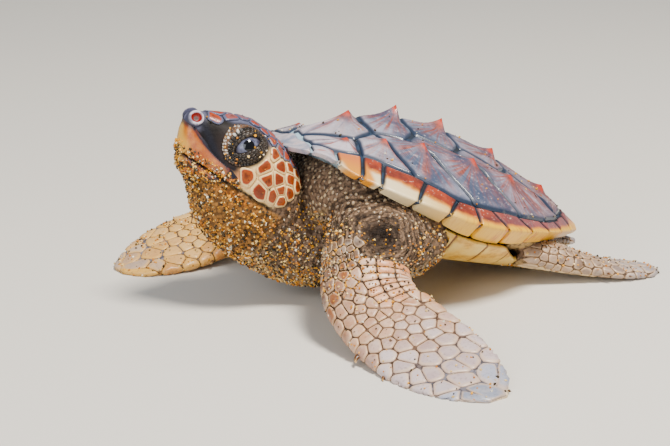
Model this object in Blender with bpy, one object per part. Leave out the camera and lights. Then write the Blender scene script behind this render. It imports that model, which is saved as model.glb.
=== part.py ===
"""A young loggerhead turtle pushing itself up on its front flippers: head, neck, shell, limbs and tail as solids.

The turtle faces -X, its left side is -Y and it rests on the floor at Z = 0.
The origin is the spot where the back of the plastron meets the floor.
Numbers are in millimetres and degrees, and meshes are written in metres.
The shell is drawn in its own frame (x towards the tail, z above the rim) and then tipped up at the front.
Every solid is a loft: a closed ring of points carried along an axis or a path and capped at both ends.
"""

import math

import bmesh
import bpy
import numpy as np

# ---------------------------------------------------------------- driving dimensions
MM = 0.001
SHELL_LENGTH = 92.0
SHELL_PITCH = 13.5  # front raised
SHELL_ROLL = 5.0  # left side raised
SHELL_CENTRE_HEIGHT = 19.0  # rim level at mid shell, above the floor
SHELL_WALL = 2.0
BELLY_DEPTH = 11.0  # plastron below the rim
PLASTRON_WALL = 1.8
REST = np.array([30.0, -0.5, 0.0])  # where the plastron touches the floor, seen from below mid shell
GAP = 0.3  # between touching solids
FLIPPER_SINK = 0.5  # how far the flippers press into their own thickness at the floor
ARMPIT = -10.0  # how far back the arms reach, in the shell's frame
HEAD_PITCH = 36.0
SNOUT = np.array([-64.9, -3.0, 48.1])  # tip of the snout
MOUTH_LEVEL = -7.4  # mouth line below the snout tip, in the head's own frame
MOUTH_DEPTH = 26.0  # how far back the jaws part
EYE_PLACE = (14.0, 6.2, 1.9)  # back from the snout, out from the middle, up
EYE_RADIUS = 4.2
BODY_SKIN = ("Body skin", (0.36, 0.27, 0.21), 0.6)
FLIPPER_SKIN = ("Flipper skin", (0.62, 0.46, 0.38), 0.5)

# ---------------------------------------------------------------- shell outline, as shares of the length
STATION = [0.00, 0.05, 0.12, 0.22, 0.34, 0.46, 0.58, 0.70, 0.82, 0.92, 1.00]
HALF_WIDTH = [0.122, 0.230, 0.309, 0.366, 0.392, 0.386, 0.356, 0.298, 0.206, 0.112, 0.022]
RIM_HEIGHT = [0.116, 0.120, 0.086, 0.058, 0.033, 0.010, 0.002, 0.001, -0.001, -0.001, -0.002]
KEEL_HEIGHT = [0.114, 0.140, 0.171, 0.204, 0.225, 0.217, 0.192, 0.151, 0.101, 0.054, 0.008]
DOME_POWER = 1.65  # roundness of the dome from keel to rim
# place along the shell, height in mm
KEEL_SPINES = [(0.212, 1.7), (0.352, 2.9), (0.500, 2.7), (0.678, 1.9), (0.862, 1.4)]
SIDE_SPINES = [(0.145, 0.9), (0.248, 1.2), (0.358, 1.4), (0.522, 1.4), (0.660, 1.1)]
SIDE_KEEL = 0.50  # where the side keel runs, as a share of the half width
RIM_SEAMS = [0.035, 0.105, 0.185, 0.28, 0.375, 0.475, 0.58, 0.68, 0.77, 0.85, 0.925, 1.0]


def smooth(x, xs, ys):
    """A smooth curve through the points (xs, ys) that doesn't overshoot: cubic pieces, each with
    the slope that the harmonic mean of the neighbouring chords gives (Fritsch and Carlson)."""
    xs, ys, x = np.asarray(xs, float), np.asarray(ys, float), np.asarray(x, float)
    h, chord = np.diff(xs), np.diff(ys) / np.diff(xs)
    left, right = chord[:-1], chord[1:]
    w1, w2 = 2 * h[1:] + h[:-1], h[1:] + 2 * h[:-1]
    same = left * right > 0
    safe_left, safe_right = np.where(same, left, 1.0), np.where(same, right, 1.0)
    inner = np.where(same, (w1 + w2) / (w1 / safe_left + w2 / safe_right), 0.0)
    slope = np.concatenate([[chord[0]], inner, [chord[-1]]])
    i = np.clip(np.searchsorted(xs, x) - 1, 0, len(h) - 1)
    u = np.clip((x - xs[i]) / h[i], 0.0, 1.0)
    a, b, c = ys[i], ys[i + 1], h[i]
    return (
        a * (1 + 2 * u) * (1 - u) ** 2
        + b * u**2 * (3 - 2 * u)
        + c * slope[i] * u * (1 - u) ** 2
        - c * slope[i + 1] * u**2 * (1 - u)
    )


def spine_row(s, across, spines, spread):
    """A row of backward-leaning spines: each rises slowly from the front, drops at once behind its tip,
    and falls away linearly to both sides over the given spread."""
    total = np.zeros(np.broadcast(s, across).shape)
    for place, height in spines:
        ahead = np.clip(1 - (place - s) / 0.075, 0, 1) ** 2.2 * (s <= place)
        behind = np.clip(1 - (s - place) / 0.018, 0, 1) * (s > place)
        total = np.maximum(total, height * (ahead + behind) * np.clip(1 - across / spread, 0, 1) ** 1.3)
    return total


def rim_tooth(s):
    """How far the rim stands out at each marginal plate: it grows backwards and is cut off at the seam."""
    seams = np.array([0.0] + RIM_SEAMS)
    i = np.clip(np.searchsorted(seams, s, side="left") - 1, 0, len(seams) - 2)
    along = (s - seams[i]) / (seams[i + 1] - seams[i])
    return 1.1 * np.clip((s - 0.35) / 0.4, 0, 1) * (along**2 - 0.35)


def shell_half_width(s):
    return smooth(s, STATION, HALF_WIDTH) * SHELL_LENGTH + rim_tooth(s)


def shell_top(s, t):
    """Height of the carapace over the shell's rim level at station s and share t of the half width:
    rim height plus the dome, the keel, the side keels and their spines."""
    t = np.abs(t)
    rim = smooth(s, STATION, RIM_HEIGHT) * SHELL_LENGTH
    keel = smooth(s, STATION, KEEL_HEIGHT) * SHELL_LENGTH
    dome = rim + (keel - rim) * (1 - t**DOME_POWER)
    ridge = 0.8 * np.clip(1 - t / 0.10, 0, 1) + 0.6 * np.clip(1 - np.abs(t - SIDE_KEEL) / 0.12, 0, 1)
    fade = np.clip(np.minimum(s, 1 - s) / 0.12, 0, 1)
    spines = spine_row(s, t, KEEL_SPINES, 0.09) + spine_row(s, np.abs(t - SIDE_KEEL), SIDE_SPINES, 0.10)
    return dome + ridge * fade + spines


def front_curve(s, t):
    """Moves the middle of the front edge back a little, so that the nape edge is slightly hollow."""
    return (0.5 - s) * -SHELL_LENGTH + 1.6 * (1 - t**2) * np.clip(1 - s / 0.1, 0, 1)


# ---------------------------------------------------------------- frames
def shell_to_world(points):
    """Tips the shell's frame up at the front and up on the left, and lifts it to its height."""
    pitch, roll = math.radians(SHELL_PITCH), math.radians(-SHELL_ROLL)
    about_y = np.array([[math.cos(pitch), 0, math.sin(pitch)], [0, 1, 0], [-math.sin(pitch), 0, math.cos(pitch)]])
    about_x = np.array([[1, 0, 0], [0, math.cos(roll), -math.sin(roll)], [0, math.sin(roll), math.cos(roll)]])
    return points @ (about_y @ about_x).T + [0, 0, SHELL_CENTRE_HEIGHT]


def head_to_world(points):
    """Head frame: x back from the snout tip along the mouth line, y to the right, z up off the skull."""
    pitch = math.radians(HEAD_PITCH)
    back = np.array([math.cos(pitch), 0, -math.sin(pitch)])
    up = np.array([math.sin(pitch), 0, math.cos(pitch)])
    right = np.array([0, 1.0, 0])
    return SNOUT + points[..., :1] * back + points[..., 1:2] * right + points[..., 2:] * up


# ---------------------------------------------------------------- meshes
def clear_scene():
    for obj in list(bpy.data.objects):
        bpy.data.objects.remove(obj)
    for name in ("Loggerhead turtle", "Cutters"):
        collection = bpy.data.collections.new(name)
        bpy.context.scene.collection.children.link(collection)
        if name == "Cutters":
            collection.hide_render = True


def material(name, colour, roughness):
    """A plain coloured skin, horn or shell."""
    mat = bpy.data.materials.get(name) or bpy.data.materials.new(name)
    mat.use_nodes = True
    shader = mat.node_tree.nodes["Principled BSDF"]
    shader.inputs["Base Color"].default_value = (*colour, 1)
    shader.inputs["Roughness"].default_value = roughness
    shader.inputs["Metallic"].default_value = 0.0
    return mat


def loft(name, rings, look=None):
    """A closed solid from rings of points in millimetres: strips of triangles between rings, and a fan on each end."""
    count, around = rings.shape[:2]
    mesh = bpy.data.meshes.new(name)
    bm = bmesh.new()
    rings = (np.asarray(rings) - REST) * MM
    grid = [[bm.verts.new(p) for p in ring] for ring in rings]
    for i in range(count - 1):
        for j in range(around):
            k = (j + 1) % around
            bm.faces.new((grid[i][j], grid[i][k], grid[i + 1][k], grid[i + 1][j]))
    for i, turn in ((0, 1), (count - 1, -1)):
        centre = bm.verts.new(rings[i].mean(axis=0))
        for j in range(around):
            pair = (grid[i][(j + 1) % around], grid[i][j])[::turn]
            bm.faces.new((centre, *pair))
    bmesh.ops.triangulate(bm, faces=bm.faces)
    bmesh.ops.recalc_face_normals(bm, faces=bm.faces)
    if bm.calc_volume(signed=True) < 0:
        bmesh.ops.reverse_faces(bm, faces=bm.faces)
    bm.to_mesh(mesh)
    bm.free()
    mesh.shade_smooth()
    mesh.set_sharp_from_angle(angle=math.radians(50))
    obj = bpy.data.objects.new(name, mesh)
    part = look is not None
    bpy.data.collections["Loggerhead turtle" if part else "Cutters"].objects.link(obj)
    if part:
        mesh.materials.append(material(*look))
    else:
        obj.hide_render = True
        obj.display_type = "WIRE"
    return obj


def boolean(obj, other, operation="DIFFERENCE"):
    modifier = obj.modifiers.new(f"{operation.lower()} {other.name}", "BOOLEAN")
    modifier.operation = operation
    modifier.object = other
    modifier.solver = "EXACT"


# ---------------------------------------------------------------- shell
def stations(first, last, count):
    """Even steps along the shell, plus a ring at and just behind each keel spine."""
    tips = [place for place, _ in KEEL_SPINES]
    extra = [p + d for p in tips for d in (-0.02, 0, 0.018) if first < p + d < last]
    even = np.linspace(first, last, count)
    even = even[[min([abs(e - x) for x in extra] + [1]) > 0.008 for e in even]]
    return np.unique(np.concatenate([[first], even, extra, [last]]))


def upper_hull(name, grow=0.0, look=None):
    """The carapace as a filled dome: top, rim, the plates' under side to the bridge seam, and a floor across."""
    inner = [0.09, 0.2, 0.4, 0.5, 0.6, 0.78, 0.9, 1.0]
    across = np.array([-a for a in inner[::-1]] + [0.0] + inner)
    rings = []
    for s in stations(0.0, 1.0, 30):
        half = shell_half_width(s) + grow
        top = shell_top(s, across) + grow
        top[[0, -1]] -= grow
        x = front_curve(s, across)
        rim = top[0]
        seam_in, seam_down = under_seam(s)
        under = [(half - seam_in, rim - seam_down - grow), ((half - seam_in) * 0.5, rim - seam_down - grow)]
        ring = [(x[i], across[i] * half, top[i]) for i in range(len(across))]
        ring += [(x[-1], y, z) for y, z in under]
        ring += [(x[0], -y, z) for y, z in under[::-1]]
        rings.append(ring)
    rings = np.array(rings)
    rings[0, :, 0] -= grow
    rings[-1, :, 0] += grow
    return loft(name, shell_to_world(rings), look)


def under_seam(s):
    """Where the rim plates end underneath, in from the rim and down: widest along the bridge."""
    inward = smooth(s, [0, 0.15, 0.35, 0.55, 0.75, 0.95, 1.0], [1.5, 3.0, 4.5, 4.8, 4.4, 2.4, 1.2])
    down = smooth(s, [0, 0.15, 0.35, 0.55, 0.75, 0.95, 1.0], [1.0, 1.3, 3.0, 4.4, 3.2, 1.6, 0.9])
    return inward, down


def plastron_half_width(s):
    """Front lobe, bridge reaching out to the rim plates, and hind lobe."""
    return smooth(
        s,
        [0.13, 0.17, 0.24, 0.30, 0.36, 0.48, 0.60, 0.67, 0.74, 0.82, 0.88, 0.90],
        [4.0, 10.0, 17.0, 21.5, 30.5, 31.2, 28.4, 22.0, 16.0, 10.5, 5.5, 3.0],
    )


def lower_hull(name, grow=0.0, look=None):
    """The plastron and bridges as a filled tray: flat belly, sides curving up to the rim plates."""
    side = np.array([0, 0.3, 0.55, 0.7, 0.85, 1.0])
    rings = []
    for s in np.append(np.linspace(0.13, 0.80, 19), [0.83, 0.86, 0.88, 0.90]):
        wide = plastron_half_width(s)
        rim = smooth(s, STATION, RIM_HEIGHT) * SHELL_LENGTH
        bridge = np.clip((wide - 20) / 9, 0, 1)
        seam = rim - under_seam(s)[1] - GAP
        top = bridge * seam + (1 - bridge) * (PLASTRON_WALL - BELLY_DEPTH + 0.9)
        belly = -BELLY_DEPTH + 1.4 * np.clip((0.3 - s) / 0.17, 0, 1) ** 2 - 1.0 * np.clip((s - 0.6) / 0.2, 0, 1)
        rise = np.clip((side - 0.55) / 0.45, 0, 1) ** 1.8
        bottom = belly + (top - 0.5 - belly) * rise - grow
        wide, top = wide + grow, top + grow
        x = (s - 0.5) * SHELL_LENGTH
        right = [(x, wide * side[i], bottom[i]) for i in range(len(side))]
        ring = right + [(x, wide, top), (x, wide * 0.5, top), (x, 0, top), (x, -wide * 0.5, top), (x, -wide, top)]
        ring += [(x, -y, z) for _, y, z in right[:0:-1]]
        rings.append(ring)
    rings = np.array(rings)
    rings[0, :, 0] -= grow
    rings[-1, :, 0] += grow
    world = shell_to_world(rings)
    if grow == 0:
        world[..., 2] = np.maximum(world[..., 2], 0.0)
    return loft(name, world, look)


def trunk_solid(name, grow=0.0, look=None):
    """The soft body inside the shell, one wall inside the carapace and resting in the plastron."""
    across = np.linspace(-1, 1, 11)
    rings = []
    for s in np.linspace(0.10, 0.93, 15):
        narrow = smooth(s, [0.10, 0.16, 0.24, 0.34], [0.42, 0.62, 0.86, 1.0])
        half = (shell_half_width(s) - rim_tooth(s) - 3.2 - SHELL_WALL * 0.5) * narrow + grow
        rim = smooth(s, STATION, RIM_HEIGHT) * SHELL_LENGTH
        keel = smooth(s, STATION, KEEL_HEIGHT) * SHELL_LENGTH
        crown = keel - rim - SHELL_WALL - GAP - 0.4
        top = rim + crown * (1 - np.abs(across) ** 2.2) - 0.6 + grow
        floor = -BELLY_DEPTH + PLASTRON_WALL + GAP + 0.9
        deep = floor + (rim - 1.5 - floor) * np.abs(across) ** 3.0 - grow
        x = (s - 0.5) * SHELL_LENGTH
        ring = [(x, half * a, z) for a, z in zip(across, top)]
        ring += [(x, half * a, z) for a, z in zip(across[::-1], deep[::-1])]
        rings.append(ring)
    rings = np.array(rings)
    rings[0, :, 0] -= grow
    rings[-1, :, 0] += grow
    return loft(name, shell_to_world(rings), look)


def bridge_block(name):
    """Everything from the armpits back, so that no thin edge of an arm is left between the shell's halves."""
    frame = [(-45, -20), (45, -20), (45, 30), (-45, 30)]
    return loft(name, shell_to_world(np.array([[(x, y, z) for y, z in frame] for x in (ARMPIT, 60)])))


# ---------------------------------------------------------------- head and neck
# Sections in the head's frame: top (back, up), bottom (back, up), half width, widest level from the bottom
HEAD_NECK = [
    (-1.3, 1.9, -1.3, -0.4, 1.6, 0.60),
    (-0.6, 2.5, -0.5, -2.2, 2.4, 0.60),
    (0.6, 3.3, 0.6, -4.9, 3.1, 0.58),
    (1.9, 4.0, 1.9, -7.6, 3.7, 0.56),
    (4.3, 5.0, 4.3, -10.8, 4.9, 0.56),
    (7.5, 6.5, 7.5, -12.7, 6.6, 0.58),
    (11.0, 7.8, 11.0, -15.6, 8.7, 0.60),
    (14.5, 8.6, 14.5, -18.7, 10.3, 0.60),
    (18.5, 8.6, 18.5, -21.0, 11.6, 0.62),
    (22.5, 7.8, 23.0, -22.6, 12.5, 0.65),
    (26.3, 6.4, 28.0, -23.0, 12.9, 0.68),
    (30.0, 4.0, 33.2, -22.9, 12.3, 0.70),
    (32.0, 1.4, 38.6, -22.6, 11.2, 0.62),
    (34.6, 0.4, 44.4, -21.6, 11.8, 0.52),
    (38.5, 1.0, 51.0, -18.9, 13.6, 0.46),
    (43.5, 3.0, 57.0, -14.2, 15.0, 0.44),
    (50.0, 7.0, 62.0, -8.5, 13.5, 0.44),
]
HEAD_END = 0.60  # the share of the head and neck's length where the neck starts
BEAK_UPPER = [(-6, -0.8), (1.5, -0.8), (8.5, -2.6), (14.5, -4.4), (14.5, -40), (-6, -40)]
BEAK_LOWER = [(-6, -7.0), (12.0, -7.0), (12.0, -9.4), (6.0, -11.6), (-6, -11.6)]


def head_rings(rows, around, grow=0.0):
    """Sections of the head and neck: above its widest level each is a flattened dome, below it a deeper one."""
    rows = np.asarray(rows)
    turn = np.linspace(0, 2 * math.pi, around, endpoint=False)
    top, bottom, wide, level = rows[:, None, 0:2], rows[:, None, 2:4], rows[:, None, 4], rows[:, None, 5:6]
    tall = np.linalg.norm(top - bottom, axis=-1, keepdims=True)
    top, bottom = top + (top - bottom) / tall * grow, bottom - (top - bottom) / tall * grow
    centre = bottom + (top - bottom) * level
    up, side = np.sin(turn)[None, :, None], np.cos(turn)[None, :]
    rise = np.abs(up) ** 0.9
    plane = np.where(up > 0, centre + (top - centre) * rise, centre + (bottom - centre) * rise)
    y = (wide + grow) * np.sign(side) * np.abs(side) ** 0.92
    rings = np.stack([plane[..., 0], y, plane[..., 1]], axis=-1)
    rings[0, :, 0] -= grow
    rings[-1, :, 0] += grow
    return head_to_world(rings)


def head_and_neck(steps):
    """Even steps between the sections of the table, read from smooth curves along their centres."""
    rows = np.array(HEAD_NECK)
    middle = (rows[:, 0:2] + rows[:, 2:4]) / 2
    place = np.concatenate([[0], np.cumsum(np.linalg.norm(np.diff(middle, axis=0), axis=1))])
    return np.stack([smooth(steps, place / place[-1], column) for column in rows.T], axis=1)


def head_prism(name, outline, half_width=20.0):
    """A block through the head with the given side outline (back, up), to cut the head with."""
    return loft(name, head_to_world(np.array([[(x, y, z) for x, z in outline] for y in (-half_width, half_width)])))


def grown(outline, by):
    """An outline with its upper right side moved out by a gap."""
    return [(x + by * (x > 0), z + by * (z > -7.01)) if z > -9 else (x + by * (x > 0), z - by) for x, z in outline]


def ball(name, centre, radius, look=None):
    """A round ball, such as an eye."""
    polar = np.linspace(0.15, math.pi - 0.15, 8)
    turn = np.linspace(0, 2 * math.pi, 16, endpoint=False)
    rings = np.stack(
        [
            np.sin(polar)[:, None] * np.cos(turn)[None, :],
            np.sin(polar)[:, None] * np.sin(turn)[None, :],
            np.repeat(np.cos(polar)[:, None], len(turn), axis=1),
        ],
        axis=-1,
    )
    return loft(name, np.asarray(centre) + rings * radius, look)


def head_parts():
    """Upper head, lower jaw, the two halves of the beak, the eyes and the neck, parted by thin cuts."""
    skin = ("Head skin", (0.55, 0.25, 0.09), 0.5)
    horn = ("Beak horn", (0.78, 0.45, 0.15), 0.35)
    front = np.array([0, 0.012, 0.035, 0.065, 0.11, 0.165, 0.22, 0.28, 0.34, 0.40, 0.46, 0.51, 0.555])
    whole = head_rings(head_and_neck(np.append(front, HEAD_END - 0.006)), 24)
    low, deep = -40, MOUTH_DEPTH
    jaw_zone = head_prism("jaw", [(-6, low), (deep, low), (deep, MOUTH_LEVEL - GAP), (-6, MOUTH_LEVEL - GAP)])
    deep += GAP
    jaw_gap = head_prism("jaw and mouth", [(-6, low), (deep, low), (deep, MOUTH_LEVEL), (-6, MOUTH_LEVEL)])

    head = loft("head", whole, skin)
    boolean(head, jaw_gap)
    boolean(head, head_prism("upper beak gap", grown(BEAK_UPPER, GAP)))
    jaw = loft("lower_jaw", whole, skin)
    boolean(jaw, jaw_zone, "INTERSECT")
    boolean(jaw, head_prism("lower beak gap", grown(BEAK_LOWER, GAP)))
    beak_upper = loft("beak_upper", whole, horn)
    boolean(beak_upper, head_prism("upper beak zone", BEAK_UPPER), "INTERSECT")
    boolean(beak_upper, jaw_gap)
    beak_lower = loft("beak_lower", whole, horn)
    boolean(beak_lower, jaw_zone, "INTERSECT")
    boolean(beak_lower, head_prism("lower beak zone", BEAK_LOWER), "INTERSECT")

    back, out, up = EYE_PLACE
    for side, name in ((-1, "left"), (1, "right")):
        centre = head_to_world(np.array([back, side * out, up]))
        ball(f"eye_{name}", centre, EYE_RADIUS, ("Eye", (0.02, 0.02, 0.025), 0.08))
        boolean(head, ball(f"socket {name}", centre, EYE_RADIUS + GAP))
    neck = loft("neck", head_rings(head_and_neck(np.linspace(HEAD_END + 0.006, 1, 9)), 24), BODY_SKIN)
    return head, neck


# ---------------------------------------------------------------- soft tubes: neck, limbs, tail
def path_frames(points, chord):
    """Unit vectors at each path point: along the path, across it towards the trailing edge, and out of the top."""
    points, chord = np.asarray(points, float), np.asarray(chord, float)
    along = np.gradient(points, axis=0)
    along /= np.linalg.norm(along, axis=1, keepdims=True)
    across = chord - (chord * along).sum(1, keepdims=True) * along
    across /= np.linalg.norm(across, axis=1, keepdims=True)
    return along, across, np.cross(along, across)


def resample(rows, steps):
    """Rows of numbers along a path, read at even steps from smooth curves through them."""
    rows = np.asarray(rows, float)
    place = np.concatenate([[0], np.cumsum(np.linalg.norm(np.diff(rows[:, :3], axis=0), axis=1))])
    place /= place[-1]
    at = np.linspace(0, 1, steps)
    return np.stack([smooth(at, place, column) for column in rows.T], axis=1)


def limb_rings(rows, steps, around, grow=0.0, span=(0.0, 1.0)):
    """Rings of a limb. Each row is x, y, z, half width, half thickness and the chord's x, y, z.
    A section is an ellipse whose trailing side thins out as the limb flattens into a blade."""
    table = resample(rows, 60)
    first, last = round(span[0] * 59), round(span[1] * 59)
    keep = np.unique(np.round(np.linspace(first, last, steps)).astype(int))
    along, across, top = path_frames(table[:, :3], table[:, 5:8])
    table, along, across, top = table[keep], along[keep], across[keep], top[keep]
    turn = np.linspace(0, 2 * math.pi, around, endpoint=False)
    wide, thick = table[:, 3:4] + grow, table[:, 4:5] + grow
    flat = np.clip(1 - thick / wide, 0, 1)
    share = np.cos(turn)[None, :]
    taper = 1 - flat * 0.55 * (share + 1) / 2
    y = wide * share
    z = thick * np.sin(turn)[None, :] * taper
    rings = table[:, None, :3] + y[..., None] * across[:, None, :] + z[..., None] * top[:, None, :]
    rings[0] -= along[0] * grow
    rings[-1] += along[-1] * grow
    return rings


# centre x, y, z, half width, half thickness, chord direction (leading to trailing edge)
ARM_LEFT = [
    (-12.0, -14.0, 21.0, 8.5, 7.5, 1.0, -0.6, 0.0),
    (-18.5, -21.5, 20.4, 14.0, 11.9, 1.0, -0.6, -0.25),
    (-27.0, -28.5, 19.4, 12.5, 11.2, 1.0, -0.6, -0.02),
    (-31.8, -34.5, 15.8, 10.6, 8.1, 1.0, -0.35, 0.2),
    (-34.0, -42.0, 11.0, 10.8, 5.6, 1.0, -0.15, 0.26),
    (-31.8, -52.0, 6.8, 11.9, 3.9, 1.0, -0.08, 0.27),
    (-29.6, -63.0, 4.5, 12.3, 2.8, 1.0, -0.08, 0.24),
    (-27.4, -73.0, 2.9, 11.5, 2.0, 1.0, -0.08, 0.18),
    (-24.9, -81.5, 1.5, 8.4, 1.4, 1.0, -0.1, 0.08),
    (-23.2, -87.4, 0.8, 3.0, 0.7, 1.0, -0.1, 0.03),
]
ARM_RIGHT = [
    (-12.0, 14.0, 19.0, 8.5, 7.0, 1.0, 0.6, 0.0),
    (-18.0, 23.0, 18.0, 11.0, 9.8, 0.9, 0.7, -0.1),
    (-22.5, 31.5, 16.0, 10.8, 8.6, 0.75, 0.9, 0.1),
    (-28.0, 38.0, 12.5, 10.5, 6.6, 0.4, 1.0, 0.2),
    (-36.5, 40.0, 9.0, 11.2, 5.0, 0.1, 1.0, 0.26),
    (-46.5, 39.0, 6.3, 12.0, 3.7, 0.0, 1.0, 0.27),
    (-56.5, 37.0, 4.2, 11.8, 2.7, 0.0, 1.0, 0.24),
    (-65.0, 35.0, 2.3, 10.0, 2.0, 0.0, 1.0, 0.16),
    (-70.5, 33.8, 1.1, 6.9, 1.3, 0.05, 1.0, 0.06),
    (-73.2, 33.2, 0.8, 2.6, 0.7, 0.05, 1.0, 0.03),
]
HIND_LEFT = [
    (19.0, -13.0, 9.5, 7.0, 4.6, 0.2, 1.0, 0.0),
    (29.0, -15.5, 7.0, 6.6, 4.0, 0.2, 1.0, 0.0),
    (38.0, -17.0, 4.2, 6.8, 2.9, 0.15, 1.0, 0.0),
    (47.0, -18.0, 2.2, 7.8, 1.9, 0.1, 1.0, 0.0),
    (54.5, -18.5, 1.2, 6.6, 1.3, 0.05, 1.0, 0.0),
    (59.0, -18.5, 0.8, 2.2, 0.7, 0.05, 1.0, 0.0),
]
HIND_RIGHT = [
    (17.0, 13.0, 9.5, 7.0, 4.6, -0.3, 1.0, 0.0),
    (25.0, 17.0, 7.0, 6.6, 4.0, -0.4, 1.0, 0.0),
    (32.0, 21.5, 4.2, 6.8, 2.9, -0.5, 1.0, 0.0),
    (38.5, 26.5, 2.2, 7.6, 1.9, -0.6, 1.0, 0.0),
    (44.0, 31.0, 1.2, 6.4, 1.3, -0.7, 1.0, 0.0),
    (47.5, 34.0, 0.8, 2.2, 0.7, -0.7, 1.0, 0.0),
]
TAIL = [
    (30.0, 0.5, 7.0, 5.0, 3.4, 0, 1, 0),
    (36.0, 0.5, 5.8, 3.6, 2.6, 0, 1, 0),
    (41.5, 0.5, 4.8, 2.0, 1.6, 0, 1, 0),
    (45.0, 0.5, 4.2, 0.8, 0.7, 0, 1, 0),
]
ELBOW = 0.33  # where the upper arm ends, as a share of the limb's length


def floored(rings, sink=0.0):
    """Lets the limb down by sink and presses whatever would go into the floor flat against it."""
    return np.concatenate([rings[..., :2], np.maximum(rings[..., 2:] - sink, 0.0)], axis=-1)


def soft_parts(shell_cutters, head, neck):
    """Neck, limbs and tail, each trimmed by the shell, by the trunk and by the part it grows from."""
    boolean(head, shell_cutters[0])
    bridge = bridge_block("bridge for cutting")
    for side, rows in (("left", ARM_LEFT), ("right", ARM_RIGHT)):
        upper = loft(f"upper_arm_{side}", floored(limb_rings(rows, 8, 20, span=(0, ELBOW))), BODY_SKIN)
        arm_cutter = loft(f"arm cutter {side}", limb_rings(rows, 8, 20, GAP, span=(0, ELBOW)))
        for cutter in [bridge, *shell_cutters]:
            boolean(upper, cutter)
        boolean(neck, arm_cutter)
        blade = limb_rings(rows, 15, 20, span=(ELBOW + 0.012, 1))
        blade = floored(blade, sink=np.linspace(0, FLIPPER_SINK, len(blade))[:, None, None])
        loft(f"front_flipper_{side}", blade, FLIPPER_SKIN)
    for cutter in shell_cutters:
        boolean(neck, cutter)
    for side, rows in (("left", HIND_LEFT), ("right", HIND_RIGHT)):
        hind = loft(f"hind_flipper_{side}", floored(limb_rings(rows, 10, 14), FLIPPER_SINK), FLIPPER_SKIN)
        for cutter in shell_cutters:
            boolean(hind, cutter)
    tail = loft("tail", limb_rings(TAIL, 6, 12), BODY_SKIN)
    for cutter in shell_cutters:
        boolean(tail, cutter)


def shell_parts():
    """Carapace, plastron and the trunk between them. Returns the three grown copies that trim the soft parts."""
    trunk_cutter = trunk_solid("trunk for cutting", grow=GAP)
    carapace = upper_hull("carapace", look=("Carapace", (0.20, 0.13, 0.12), 0.35))
    boolean(carapace, trunk_cutter)
    plastron = lower_hull("plastron", look=("Plastron", (0.85, 0.68, 0.38), 0.4))
    boolean(plastron, trunk_cutter)
    trunk_solid("trunk", look=BODY_SKIN)
    return [
        upper_hull("carapace for cutting", grow=GAP),
        lower_hull("plastron for cutting", grow=GAP),
        trunk_cutter,
    ]


clear_scene()
soft_parts(shell_parts(), *head_parts())
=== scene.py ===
# %% [markdown]
# # A young loggerhead turtle
# The animal is a palm-sized juvenile that pushes itself up on its front flippers.
# The frame gives the solids: head, beak, shell, limbs and tail. This lesson dresses them.
# Soft parts get one continuous skin, and everything horny (shell plates, beak, scales, claws)
# is laid over it as thin closed plates, as on the living animal.

# %% Load the frame
import math

import bmesh
import bpy
import numpy as np
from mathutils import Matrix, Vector


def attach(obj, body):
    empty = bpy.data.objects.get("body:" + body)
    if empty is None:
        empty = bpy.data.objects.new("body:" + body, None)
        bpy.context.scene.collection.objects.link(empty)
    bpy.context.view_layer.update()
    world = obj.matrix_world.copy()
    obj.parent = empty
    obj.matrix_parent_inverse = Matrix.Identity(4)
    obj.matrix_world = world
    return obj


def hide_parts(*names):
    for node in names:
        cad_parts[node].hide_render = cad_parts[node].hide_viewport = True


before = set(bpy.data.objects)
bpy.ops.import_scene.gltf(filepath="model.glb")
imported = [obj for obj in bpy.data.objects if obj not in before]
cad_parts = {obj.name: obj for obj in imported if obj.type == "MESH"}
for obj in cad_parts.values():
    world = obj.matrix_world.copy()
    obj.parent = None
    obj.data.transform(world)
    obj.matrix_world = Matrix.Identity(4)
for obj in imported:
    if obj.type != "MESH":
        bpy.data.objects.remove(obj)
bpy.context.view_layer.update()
rng = np.random.default_rng(7)

# %% [markdown]
# ## Measures
# The maker's numbers are in millimetres, measured from the floor below the middle of the shell.
# The finished model stands in metres, and its origin is the spot where the belly meets the floor,
# so every point passes through one function before it reaches a mesh.

# %% From maker's millimetres to the model
REST = np.array([30.0, -0.5, 0.0])


def place(points):
    """point in metres = (point in mm - REST) / 1000."""
    return (np.asarray(points, float) - REST) * 0.001


def smooth(x, xs, ys):
    """A curve through (xs, ys) with no overshoot. In each span, with u from 0 to 1 and width h:
    y = a(1+2u)(1-u)^2 + b u^2(3-2u) + h m0 u(1-u)^2 - h m1 u^2(1-u), where the slope m at a point
    is the weighted harmonic mean of the chords beside it, and 0 at a peak."""
    xs, ys, x = np.asarray(xs, float), np.asarray(ys, float), np.asarray(x, float)
    h, chord = np.diff(xs), np.diff(ys) / np.diff(xs)
    left, right = chord[:-1], chord[1:]
    w1, w2 = 2 * h[1:] + h[:-1], h[1:] + 2 * h[:-1]
    same = left * right > 0
    mean = (w1 + w2) / (w1 / np.where(same, left, 1.0) + w2 / np.where(same, right, 1.0))
    slope = np.concatenate([[chord[0]], np.where(same, mean, 0.0), [chord[-1]]])
    i = np.clip(np.searchsorted(xs, x) - 1, 0, len(h) - 1)
    u, a, b, c = np.clip((x - xs[i]) / h[i], 0.0, 1.0), ys[i], ys[i + 1], h[i]
    bends = slope[i] * u * (1 - u) ** 2 - slope[i + 1] * u**2 * (1 - u)
    return a * (1 + 2 * u) * (1 - u) ** 2 + b * u**2 * (3 - 2 * u) + c * bends


def unit(vectors, tiny=0.0):
    """Vectors scaled to length 1. With tiny, a vector of no length stays as it is."""
    return vectors / (np.linalg.norm(vectors, axis=-1, keepdims=True) + tiny)


def ease(x, low, high):
    """0 below low, 1 above high, and 3u^2 - 2u^3 between."""
    u = np.clip((np.asarray(x, float) - low) / (high - low), 0, 1)
    return u * u * (3 - 2 * u)


# %% [markdown]
# ## Turning arrays into meshes
# A surface here is an array of points and arrays of corner numbers. Writing them with
# foreach_set is quick, and it keeps the shape's formula apart from Blender's bookkeeping.

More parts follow.
